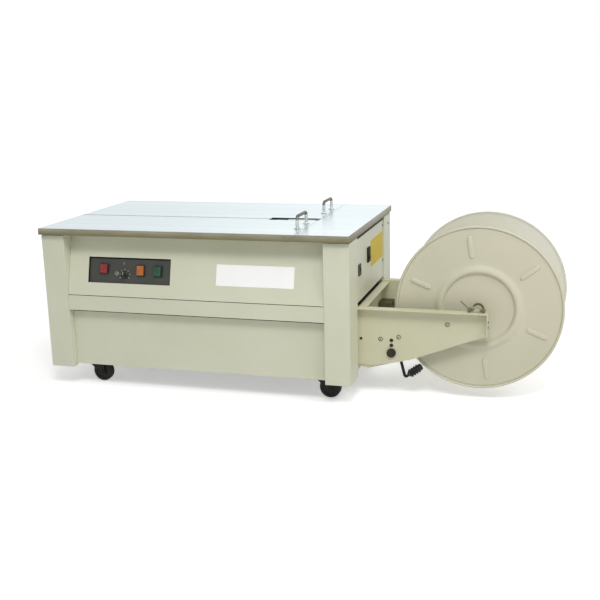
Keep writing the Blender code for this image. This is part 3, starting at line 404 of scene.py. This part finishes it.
# ---- Name plate and side sticker: thin printed vinyl, left bare. One is white, on the sloping panel, with a satin
# face. The other is yellow, on the right side panel, and more matt.
VINYL, VINYL_LIFT = 0.0004, 0.00025  # thickness, and how far its middle stands off the panel
vinyl_white = finish("vinyl_white", ("#fbfbfa", "#f6f6f4"), 0.0020, (0.34, 0.42), 0.0, patch=0.08)
vinyl_yellow = finish("vinyl_yellow", ("#dfc752", "#d6bf4c"), 0.0020, (0.60, 0.70), 0.0, patch=0.05, gloss=0.15)
plate = bmesh.new()
lay(plate, slab((0.222, 0.0585, VINYL), 0.0012), on_slope(0.632, 0.0722, VINYL_LIFT))
piece("bare_name_plate", plate, "cabinet", [vinyl_white])
side_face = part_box("right_side_panel")[1].x
sideways = Matrix(((0, 0, 1), (1, 0, 0), (0, 1, 0))).to_4x4()  # Z turns to +X, X to +Y and Y to +Z
sticker = bmesh.new()
middle = at(0, 0.3745, 0.3685)
middle.x = side_face + VINYL_LIFT
lay(sticker, slab((0.168, 0.077, VINYL), 0.0040), Matrix.Translation(middle) @ sideways)
piece("bare_side_sticker", sticker, "cabinet", [vinyl_yellow])

# ---- Switch and inlet on the right side panel: a rocker switch in its frame and a socket for the mains lead.
# Moulded nylon, black, and the socket a brownish dark grey with three tinned pins.
nylon = finish(
    "nylon_moulded_black", ("#11110f", "#1a1a17"), 0.0016, (0.60, 0.70), 0.00002, patch=0.02, fold=0.0004, gloss=0.15
)
dusty_nylon = finish(
    "nylon_moulded_grey", ("#524e42", "#464238"), 0.0016, (0.60, 0.70), 0.00002, patch=0.02, fold=0.0004, gloss=0.2
)
tin = finish("tinned_brass", ("#c3c2ba", "#a9a8a0"), 0.0030, (0.25, 0.35), 0.0, metallic=1.0, patch=0.01)
dress(["power_switch", "power_rocker"], nylon, crease=30)
dress(["power_inlet"], dusty_nylon, tin)
inlet = (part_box("power_inlet")[0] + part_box("power_inlet")[1]) / 2
pick_faces(
    "power_inlet", 1,
    lambda centre, normal: abs(centre.y - inlet.y) < 0.0058 and abs(centre.z - inlet.z) < 0.0055
    and side_face - 0.0150 < centre.x < side_face - 0.0005,
)

# ---- Screws that hold the panels: pan heads 7 mm across with a cross recess, zinc-plated, in rows on each side. Those
# on the right have gone dull. A thin dark strip along the right side panel's top edge is painted shade, for the
# shadow under the table's rim.
zinc_screw = finish("zinc_plated_screw", ("#b5b5ae", "#8f8f89"), 0.0020, (0.28, 0.4), 0.0, metallic=1.0, patch=0.01)
old_zinc = finish("zinc_darkened_screw", ("#77756a", "#5f5d54"), 0.0020, (0.4, 0.5), 0.0, metallic=0.6, patch=0.01)
nickel = finish("nickel_dull", ("#c3c1ac", "#a9a793"), 0.0020, (0.36, 0.46), 0.0, metallic=0.5, patch=0.01)
dark_recess = finish("recess_shadow", ("#23221f", "#2b2a26"), 0.0020, (0.7, 0.8), 0.0, patch=0.01)


def facing(point, direction):
    """A place at a point whose Z axis lies along a direction."""
    turned_to = Vector(direction).to_track_quat("Z", "Y").to_matrix().to_4x4()
    return Matrix.Translation(point) @ turned_to


def fasteners(name, body, places, radius, height, sides=24, recess=True, washer=0.0, twist=0.35, metal=zinc_screw):
    """Screw or bolt heads at (point, direction) places, as one piece."""
    bm = bmesh.new()
    for count, (point, direction) in enumerate(places):
        place = facing(point, direction) @ Matrix.Rotation(twist * (count + 1), 4, "Z")
        lift = 0.0
        if washer:
            ring = bmesh.new()
            bmesh.ops.create_cone(ring, cap_ends=True, segments=28, radius1=washer, radius2=washer, depth=0.0010)
            lay(bm, ring, place @ Matrix.Translation((0, 0, 0.0005)), 2)
            lift = 0.0010
        head = bmesh.new()
        bmesh.ops.create_cone(
            head, cap_ends=True, segments=sides, radius1=radius, radius2=radius * 0.94, depth=height
        )
        rim = [e for e in head.edges if min(v.co.z for v in e.verts) > 0 and e.calc_face_angle(0.0) > 0.5]
        bmesh.ops.bevel(
            head, geom=rim, offset=height * 0.4, segments=3, profile=0.5, affect="EDGES", material=-1
        )
        lay(bm, head, place @ Matrix.Translation((0, 0, lift + height / 2)), 0)
        if recess:
            for size in ((radius * 1.1, radius * 0.26, 0.0003), (radius * 0.26, radius * 1.1, 0.0003)):
                lay(bm, slab(size), place @ Matrix.Translation((0, 0, lift + height)), 1)
    return piece(name, bm, body, [metal, dark_recess, old_zinc], "steel", crease=50)


def heads_on(axis, level, direction, places):
    """(point, direction) places for heads on a face square to the x or y axis, from pairs of the other two."""
    found = []
    for first, z in places:
        point = at(0, first, z) if axis == "x" else at(first, 0, z)
        setattr(point, axis, level)
        found.append((point, direction))
    return found


right, leftward, back, forward, up = (1, 0, 0), (-1, 0, 0), (0, 1, 0), (0, -1, 0), (0, 0, 1)
post_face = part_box("leg_front_right")[1].x
left_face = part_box("left_side_panel")[0].x
rear_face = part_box("rear_panel")[1].y
panel_low, panel_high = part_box("right_side_panel")
# Painted shade: a thin dark strip along the right side panel's top edge, for the shadow under the table's rim.
rim_shade_strip = bmesh.new()
lay(rim_shade_strip, slab((panel_high.y - panel_low.y - 0.003, 0.0048, 0.0006), 0.0, 0.0002), Matrix.Translation(
    (side_face + 0.0004, (panel_low.y + panel_high.y) / 2, panel_high.z - 0.0024)) @ sideways)
piece("side_panel_top_painted_shade", rim_shade_strip, "cabinet", [nylon], "rubber")
SCREW_R, SCREW_H = 0.0035, 0.0016
right_screws = heads_on("x", side_face, right, ((0.4585, 0.424), (0.4585, 0.318), (0.114, 0.424), (0.114, 0.318)))
right_screws += heads_on("x", post_face, right, ((0.5225, 0.421), (0.5225, 0.110)))
fasteners("side_panel_screws_right", "cabinet", right_screws, SCREW_R, SCREW_H, metal=old_zinc)
left_screws = heads_on("x", left_face, leftward, [(y, z) for y in (0.114, 0.285, 0.456) for z in (0.090, 0.430)])
fasteners("side_panel_screws_left", "cabinet", left_screws, SCREW_R, SCREW_H)
rear_screws = heads_on(
    "y", rear_face, back, [(x, z) for x in (0.082, 0.266, 0.450, 0.634, 0.818) for z in (0.082, 0.432)]
)
fasteners("rear_panel_screws", "cabinet", rear_screws, SCREW_R, SCREW_H)

# ---- Bracket and reel arms: a welded bracket on the cabinet's end and two folded arms bolted to its cheeks.
# Sheet 2.5 mm thick in a yellower coat of the same cream. The pivot bolt through the front arm is blackened.
arm_enamel = finish("powder_coated_steel_arm", ("#cccaac", "#c3c1a4"), PEEL, (0.36, 0.47), 0.00005, wear="#dddcc4")
blackened = finish(
    "blackened_steel", ("#34321f", "#262517"), 0.0030, (0.50, 0.62), 0.00002, metallic=0.3, patch=0.02, gloss=0.3
)
olive_zinc = finish("olive_chromated_zinc", ("#77745a", "#5f5c45"), 0.0030, (0.40, 0.52), 0.0, metallic=0.5, patch=0.01)
dress(["reel_bracket", "reel_arm_rear"], arm_enamel)
dress(["reel_arm_front"], arm_enamel, blackened, olive_zinc)
PIVOT_REACH, STOP_REACH = 0.0126, 0.0057  # radii round the pivot bolt and the latch's stop, which have their own finish
pivot = Vector(joints["brake_swing"]["pos_m"])
arm_face = at(0, 0.117, 0).y
stop = Vector(joints["latch_flip"]["pos_m"]) + Vector((0.035, 0, -0.0008))
pick_faces(
    "reel_arm_front", 1,
    lambda centre, normal: math.hypot(centre.x - pivot.x, centre.z - pivot.z) < PIVOT_REACH and not (
        arm_face - 0.0001 < centre.y < arm_face + 0.0030 and abs(normal.y) > 0.5),
)
pick_faces(
    "reel_arm_front", 2,
    lambda centre, normal: math.hypot(centre.x - stop.x, centre.z - stop.z) < STOP_REACH
    and centre.z > stop.z - 0.0046,
)
ARM_BOLT = {"radius": 0.0044, "height": 0.0026, "washer": 0.0064, "twist": 0.6, "metal": nickel}
ARM_BOLT_PLACES = [(0.958, 0.168), (1.008, 0.176), (1.139, 0.218)]
fasteners("arm_bolts_front", "cabinet", heads_on("y", arm_face, forward, ARM_BOLT_PLACES), **ARM_BOLT)
rear_arm_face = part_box("reel_arm_rear")[1].y - 0.025
rear_places = heads_on("y", rear_arm_face, back, ARM_BOLT_PLACES + [(0.988, 0.131)])
fasteners("arm_bolts_rear", "cabinet", rear_places, **ARM_BOLT)
arm_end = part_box("reel_arm_front")[1].x
end_bolts = heads_on("x", arm_end, right, [(y, z) for y in (0.1045, 0.4655) for z in (0.2335, 0.2195)])
fasteners("arm_end_bolts", "cabinet", end_bolts, 0.0034, 0.0020, sides=6, recess=False, twist=0.2, metal=olive_zinc)
# Blackened heads, one near the arm's left end and two above the pivot bolt; their black is also painted shade for the
# holes.
black_screws = bmesh.new()
for x, z, radius in ((0.9035, 0.167, 0.0038), (0, 0.035, 0.0050), (0, 0.021, 0.0050)):
    dot = at(x, 0, z) if x else pivot + Vector((0, 0, z))
    dot.y = arm_face
    head = turn(
        [(0.0, 0.0), (radius, 0.0), (radius, 0.0008), (radius * 0.75, 0.0018), (radius * 0.35, 0.0021), (0.0, 0.0021)],
        24, closed=False,
    )
    lay(black_screws, head, facing(dot, forward))
piece("arm_black_screws", black_screws, "cabinet", [blackened], "dark")
lip_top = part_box("reel_bracket")[1].z
# Painted shade: a dark strip in the gap between the right side panel and the bracket's lip, swelling in the middle and
# wavering.
GAP_LENGTH, GAP_WIDTH = 0.352, 0.0036
gap_shade = bmesh.new()
bmesh.ops.create_grid(gap_shade, x_segments=60, y_segments=1, size=0.5)
bmesh.ops.scale(gap_shade, vec=(GAP_LENGTH, GAP_WIDTH, 1), verts=gap_shade.verts)
for vert in gap_shade.verts:
    swell = 0.22 + 0.78 * math.sin(math.pi * (vert.co.x / GAP_LENGTH + 0.5)) ** 0.8
    waver = math.sin(61 * vert.co.x) * math.sin(173 * vert.co.x + 1.1)
    vert.co.y *= swell * (1 + 0.45 * waver)
bmesh.ops.solidify(gap_shade, geom=gap_shade.faces[:], thickness=0.0010)
bmesh.ops.recalc_face_normals(gap_shade, faces=gap_shade.faces)
gap_shade_piece = bmesh.new()
lay(gap_shade_piece, gap_shade, Matrix.Translation((side_face + 0.0008, at(0, 0.2855, 0).y, lip_top + 0.0026)) @ sideways)
piece("bracket_gap_painted_shade", gap_shade_piece, "cabinet", [blackened], "dark")

# ---- Strap guide and axle latch: an olive-grey nylon eye where the strap goes in, and a bent wire latch on the
# arm, chromated to a dull olive.
guide_nylon = finish("nylon_olive_grey", ("#5b583f", "#4b4934"), 0.0016, (0.6, 0.7), 0.00002, patch=0.02, gloss=0.2)
dress(["strap_guide"], guide_nylon)
dress(["axle_latch"], olive_zinc)

# ---- Reel: two pressed discs on a drum that turns on a fixed axle.
# The discs are 1.5 mm sheet with a ring bead, six short stiffening ribs and a curled rim, in a warmer cream coat.
# The drum is rolled sheet, and the axle a ground bar with two collars.
reel_enamel = finish(
    "powder_coated_steel_reel", ("#cbc6b1", "#c1bfa7"), PEEL, (0.40, 0.50), 0.00005, wear="#e9e6d8", gloss=0.35
)
# Painted light: the rear disc takes a paler copy of the reel's coat, for the light on its inner face.
reel_enamel_painted_light = finish(
    "powder_coated_steel_reel_painted_light", ("#e4e3d7", "#dcdbcc"), PEEL, (0.40, 0.50), 0.00005, wear="#e6e5d8", gloss=0.35
)
REEL_R, BORE, CURL, DISC_SHEET = 0.2228, 0.0106, 0.0034, 0.0015
RIB_SIZE, RIB_R, RIB_FIRST = (0.060, 0.0125, 0.0043), 0.1665, 38  # a rib ends inside the sheet: it shows outside
BEAD_HEIGHT, HUB_LEVEL, FACE_LEVEL = 0.0078, 0.0060, 0.0030
BEAD = (0.0925, 0.1195)  # inner and outer radius of the pressed ring
reel_low, reel_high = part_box("reel_flange_front"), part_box("reel_flange_rear")
hub = Vector(joints["reel_spin"]["pos_m"])


def disc_height(r):
    """How far the pressed face lies behind the disc's outermost plane, at a radius."""
    level = HUB_LEVEL if r < BEAD[0] else FACE_LEVEL
    if BEAD[0] <= r <= BEAD[1]:
        share = (r - BEAD[0]) / (BEAD[1] - BEAD[0])
        level = HUB_LEVEL - FACE_LEVEL * share - BEAD_HEIGHT * math.sin(math.pi * share ** 0.66) ** 1.3
    return level


face_radii = [BORE, 0.050, 0.088] + [BEAD[0] + (BEAD[1] - BEAD[0]) * k / 18 for k in range(19)]
face_radii += [0.130, 0.170, REEL_R - 0.0105, REEL_R - 0.0080]
face = [(r, disc_height(r)) for r in face_radii]
curl = []
for k in range(13):
    turned_by = math.radians(195 - 270 * k / 12)
    curl.append((REEL_R - CURL + CURL * math.cos(turned_by), CURL - CURL * math.sin(turned_by)))
inner = [(r, h + DISC_SHEET) for r, h in reversed(face)]
profile = face + curl + inner
for name, box, side in (("front", reel_low, 1), ("rear", reel_high, -1)):
    outer_y = box[0].y if side == 1 else box[1].y
    disc = bmesh.new()
    centre = Vector((hub.x, outer_y, hub.z))
    lay(disc, turn(profile, 128), facing(centre, (0, side, 0)))
    for k in range(6):
        angle = math.radians(RIB_FIRST + 60 * k)
        rib = slab(RIB_SIZE, 0.0061, 0.0021)
        place = Matrix.Translation((hub.x, outer_y + side * 0.00225, hub.z)) @ Matrix.Rotation(-angle, 4, "Y")
        place = place @ Matrix.Translation((RIB_R, 0, 0)) @ Matrix.Rotation(math.pi / 2, 4, "X")
        lay(disc, rib, place)
    made = piece(f"reel_disc_{name}", disc, "reel", [reel_enamel if side == 1 else reel_enamel_painted_light], "paint", crease=45)
    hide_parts(f"reel_flange_{name}")
dress(["reel_core"], reel_enamel)
dull_bar = finish(
    "dull_steel_bar", ("#bdb9a2", "#a5a18b"), 0.0010, (0.36, 0.46), 0.00002, stretch=(1, 0.1, 1), metallic=0.4,
    patch=0.03,
)
dress(["reel_axle"], dull_bar)
washers = bmesh.new()
ring = [(0.0104, 0.0003), (0.0148, 0.0003), (0.0150, 0.0006), (0.0150, 0.0014), (0.0146, 0.0017), (0.0104, 0.0017)]
for node, side in (("reel_arm_front", 1), ("reel_arm_rear", -1)):
    inner_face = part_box(node)[1 if side == 1 else 0].y
    lay(washers, turn(ring, 40), facing((hub.x, inner_face, hub.z), (0, side, 0)))
piece("axle_washers", washers, "cabinet", [olive_zinc], "steel")

# ---- Brake: a black bent rod on the pivot bolt, with a ribbed rubber roll that rests near the rim. The rod is
# painted satin black, and the roll is moulded with shallow rounded ribs.
satin_black = finish("satin_black_paint", ("#121210", "#0d0d0c"), 0.0020, (0.44, 0.56), 0.00002, patch=0.02, gloss=0.25)
rubber = finish("ribbed_rubber", ("#0f0f0e", "#0a0a09"), 0.0012, (0.36, 0.46), 0.00005, patch=0.02, gloss=0.35)
dress(["brake_lever"], satin_black, crease=50)
shoe_root = pivot + Vector((0.042, 0, -0.0693))
ROLL_R, ROLL_WAVE, ROLL_START, ROLL_STEPS = 0.0104, 0.0020, 0.0090, 32
ribs = []
for k in range(ROLL_STEPS + 1):
    along = ROLL_START + 0.00088 * k
    ribs.append((ROLL_R + ROLL_WAVE * math.cos(2 * math.pi * (k / ROLL_STEPS * 3.5)), along))
shoe = [(0.0, 0.0), (0.0056, 0.0), (0.0060, 0.0006), (0.0084, 0.0040), (0.0112, 0.0078)] + ribs
shoe += [(0.0098, 0.0384), (0.0100, 0.0396), (0.0094, 0.0410), (0.0086, 0.0440), (0.0076, 0.0448), (0.0, 0.0449)]
roll = bmesh.new()
lay(roll, turn(shoe, 40, closed=False), facing(shoe_root, (0.8, 0, 0.6)))
made = piece("brake_roll_ribbed", roll, "brake", [rubber], "rubber", crease=50)
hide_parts("brake_shoe")

# ---- Strapping head and drive: a cast alloy frame with three hardened bars, a slider over them, a heater blade,
# a cam shaft driven by a gear motor, and two feed rollers. Cast faces are dull, ground ones bright.
cast = finish("cast_alloy", ("#a5a7a8", "#8f9192"), 0.0030, (0.45, 0.60), 0.00010, metallic=1.0, patch=0.05)
ground = finish(
    "hardened_ground_steel", ("#c0c1c0", "#a6a7a6"), 0.0009, (0.20, 0.30), 0.00002, stretch=(1, 0.15, 1), metallic=1.0,
    patch=0.03,
)
motor_paint = finish("motor_enamel", ("#3f5560", "#35474f"), 0.0030, (0.45, 0.58), 0.00008, patch=0.05)
heat_blued = finish("heat_blued_steel", ("#4c4a55", "#6a5d4b"), 0.0040, (0.30, 0.42), 0.0, metallic=1.0, patch=0.015)
dress(["head_frame"], cast)
dress(["gripper_left", "press_platen", "gripper_right", "cam_shaft", "feed_roller_drive"], ground)
# Painted reflection: the slider and its wear plate take a near-white, unmetallic grey for the bright surround the steel
# mirrors.
satin = finish("slider_steel_painted_reflection", ("#e2e5e2", "#d3d6d3"), 0.0009, (0.5, 0.6), 0.00002, metallic=0.0, patch=0.03)
dress(["top_slider"], satin)
slider_low, slider_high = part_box("top_slider")
WEAR_LENGTH, WEAR_THICK = 0.0810, 0.0022
wear = bmesh.new()
wear_size = (WEAR_LENGTH, slider_high.y - slider_low.y - 0.0006, WEAR_THICK)
lay(wear, slab(wear_size, 0.0008, 0.0004), Matrix.Translation(
    (slider_high.x - 0.0409, (slider_low.y + slider_high.y) / 2, slider_high.z + WEAR_THICK / 2)))
piece("slider_wear_plate", wear, "slider", [satin], "steel")
# A thin plate at the well's end in the slot walls' dark grey, painted shade in the well over the frame's bar.
frame_top, lid_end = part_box("table_frame")[1].z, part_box("table_lid_front")[1].x
strip = bmesh.new()
lay(strip, slab((0.0090, 0.0460, 0.0004), 0.0010), Matrix.Translation((
    lid_end - 0.0052, slot_line, frame_top + 0.00025)))
piece("well_end_strip", strip, "cabinet", [slot_painted_shade], "dark")
dress(["heater_blade"], heat_blued)
dress(["feed_roller_pinch"], rubber)
dress(["gear_motor"], motor_paint)
head_low, head_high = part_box("head_frame")
block_end = lid_end - 0.0105
head_bolts = [
    (Vector((x, y, head_high.z)), up)
    for x in (head_low.x + 0.0100, block_end - 0.0105) for y in (head_low.y + 0.0120, head_high.y - 0.0100)
]
fasteners("head_block_bolts", "cabinet", head_bolts, 0.0042, 0.0042, metal=blackened)

# ---- Motor: a cast aluminium barrel with cooling fins, a pressed fan cover at its free end, and four bolts into
# the gearbox. All of it is sprayed in one hammered blue-grey.
shaft_line = Vector(joints["cam_turn"]["pos_m"])
motor_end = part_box("gear_motor")[0].x
BARREL_R, FINS, FIN_FIRST, FIN_PITCH = 0.038, 12, 0.0260, 0.0088
SPOKES, SPOKE_R = 10, 0.0190
BOLT_REACH = 0.0375  # the gearbox bolts lie this far out from the shaft, across and up
fins = bmesh.new()
for k in range(FINS):
    ring = [
        (BARREL_R - 0.0006, 0.0), (BARREL_R + 0.0026, 0.0004), (BARREL_R + 0.0030, 0.0010),
        (BARREL_R + 0.0026, 0.0016), (BARREL_R - 0.0006, 0.0020),
    ]
    place = facing((motor_end + FIN_FIRST + FIN_PITCH * k, shaft_line.y, shaft_line.z), right)
    lay(fins, turn(ring, 48), place)
piece("motor_cooling_fins", fins, "cabinet", [motor_paint], "motor")
cover = bmesh.new()
shell = [(0.0085, -0.0050), (0.0300, -0.0048), (0.0375, -0.0028), (0.0402, 0.0010), (0.0405, 0.0190), (0.0388, 0.0190),
         (0.0386, 0.0016), (0.0366, -0.0010), (0.0296, -0.0030), (0.0085, -0.0032)]
place = facing((motor_end, shaft_line.y, shaft_line.z), right)
lay(cover, turn(shell, 48), place)
for k in range(SPOKES):
    spoke = Matrix.Rotation(math.radians(360 / SPOKES * k), 4, "Z") @ Matrix.Translation((SPOKE_R, 0, -0.0054))
    lay(cover, slab((0.0170, 0.0030, 0.0012), 0.0012, 0.0003), place @ spoke)
piece("motor_fan_cover", cover, "cabinet", [motor_paint], "motor")
gearbox_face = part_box("gear_motor")[1].x - 0.070
gearbox_bolts = [
    (Vector((gearbox_face, shaft_line.y + side_y * BOLT_REACH, shaft_line.z + side_z * BOLT_REACH)), leftward)
    for side_y in (-1, 1) for side_z in (-1, 1)
]
fasteners("gearbox_bolts", "cabinet", gearbox_bolts, 0.0040, 0.0038, metal=blackened)

# ---- Casters: swivel forks pressed from 2 mm sheet and painted black, with 60 mm wheels of hard rubber, which is
# matt and a little brown.
wheel_rubber = finish("wheel_rubber", ("#1b1b19", "#131312"), 0.0015, (0.55, 0.66), 0.00004, patch=0.02, gloss=0.3)
for end in ("front_left", "rear_left", "front_right", "rear_right"):
    dress([f"caster_fork_{end}"], satin_black)
    dress([f"caster_wheel_{end}"], wheel_rubber)

# ---- Setting: a white studio floor, three round soft lamps and the camera. Floor and surround show as white to the
# camera and in reflections, while the light that they give stays low, so that the object keeps its shadow.
floor_mesh = bmesh.new()
bmesh.ops.create_grid(floor_mesh, x_segments=1, y_segments=1, size=20.0)
mesh = bpy.data.meshes.new("floor")
floor_mesh.to_mesh(mesh)
floor_mesh.free()
floor = bpy.data.objects.new("floor", mesh)
bpy.context.scene.collection.objects.link(floor)
paper = bpy.data.materials.new("white_paper_floor")
paper.use_nodes = True
mesh.materials.append(paper)
paper_shader = paper.node_tree.nodes["Principled BSDF"]
paper_shader.inputs["Base Color"].default_value = linear("#f6f6f6")
paper_shader.inputs["Roughness"].default_value = 0.9
paper_shader.inputs["Specular IOR Level"].default_value = 0.1
paper_shader.inputs["Emission Color"].default_value = (1, 1, 1, 1)
seen = add_node(paper, "ShaderNodeLightPath")
shown = add_node(
    paper, "ShaderNodeMath", {"operation": "MAXIMUM"},
    {0: seen.outputs["Is Camera Ray"], 1: seen.outputs["Is Glossy Ray"]},
)
spread = add_node(paper, "ShaderNodeTexCoord").outputs["Object"]
spread = add_node(paper, "ShaderNodeVectorMath", {"operation": "LENGTH"}, {0: spread}).outputs["Value"]
spread = add_node(
    paper, "ShaderNodeMapRange", {"From Min": 0.9, "From Max": 2.4, "To Min": 0.42, "To Max": 0.75}, {"Value": spread}
)
lifted = add_node(paper, "ShaderNodeMath", {"operation": "MULTIPLY"}, {0: shown.outputs[0], 1: spread.outputs[0]})
paper.node_tree.links.new(lifted.outputs[0], paper_shader.inputs["Emission Strength"])

world = bpy.data.worlds.new("studio")
bpy.context.scene.world = world
world.use_nodes = True
sky = world.node_tree.nodes["Background"]
sky.inputs["Color"].default_value = (1, 1, 1, 1)
seen = add_node(world, "ShaderNodeLightPath")
shown = add_node(
    world, "ShaderNodeMath", {"operation": "MAXIMUM"},
    {0: seen.outputs["Is Camera Ray"], 1: seen.outputs["Is Glossy Ray"]},
)
shown = add_node(
    world, "ShaderNodeMath", {"operation": "MAXIMUM"},
    {0: shown.outputs[0], 1: seen.outputs["Is Transmission Ray"]},
)
SKY_LIGHT = 0.38  # what the surround lights with; it is seen at 1.0
level = add_node(world, "ShaderNodeMapRange", {"To Min": SKY_LIGHT, "To Max": 1.0}, {"Value": shown.outputs[0]})
world.node_tree.links.new(level.outputs[0], sky.inputs["Strength"])

for name, spot, aim, size, energy in (
    ("key_light", (0.7, -2.5, 3.1), (0.0, 0.0, 0.25), 1.2, 57.0),
    ("fill_light", (2.3, -1.2, 2.6), (0.2, 0.0, 0.25), 1.8, 34.0),
    ("back_light", (-0.4, 2.6, 2.4), (0.1, 0.0, 0.25), 2.6, 9.0),
):
    lamp = bpy.data.lights.new(name, "AREA")
    lamp.shape = "DISK"
    lamp.size = size
    lamp.energy = energy
    placed = bpy.data.objects.new(name, lamp)
    bpy.context.scene.collection.objects.link(placed)
    placed.matrix_world = facing(Vector(spot), Vector(spot) - Vector(aim))

CAMERA_PLACE, CAMERA_ANGLES, LENS = (0.7416, -2.5903, 0.8898), (16.753, 13.831, -1.439), 56.49
azimuth, elevation, roll = (math.radians(angle) for angle in CAMERA_ANGLES)
sight = Vector((
    -math.sin(azimuth) * math.cos(elevation), math.cos(azimuth) * math.cos(elevation), -math.sin(elevation)
))
across = sight.cross(Vector(up)).normalized()
turned = Matrix((across, across.cross(sight), -sight)).transposed() @ Matrix.Rotation(roll, 3, "Z")
view = bpy.data.cameras.new("camera")
view.lens, view.sensor_width = LENS, 36.0
camera = bpy.data.objects.new("camera", view)
bpy.context.scene.collection.objects.link(camera)
camera.matrix_world = Matrix.Translation(CAMERA_PLACE) @ turned.to_4x4()
bpy.context.scene.camera = camera
bpy.context.scene.view_settings.view_transform = "Standard"
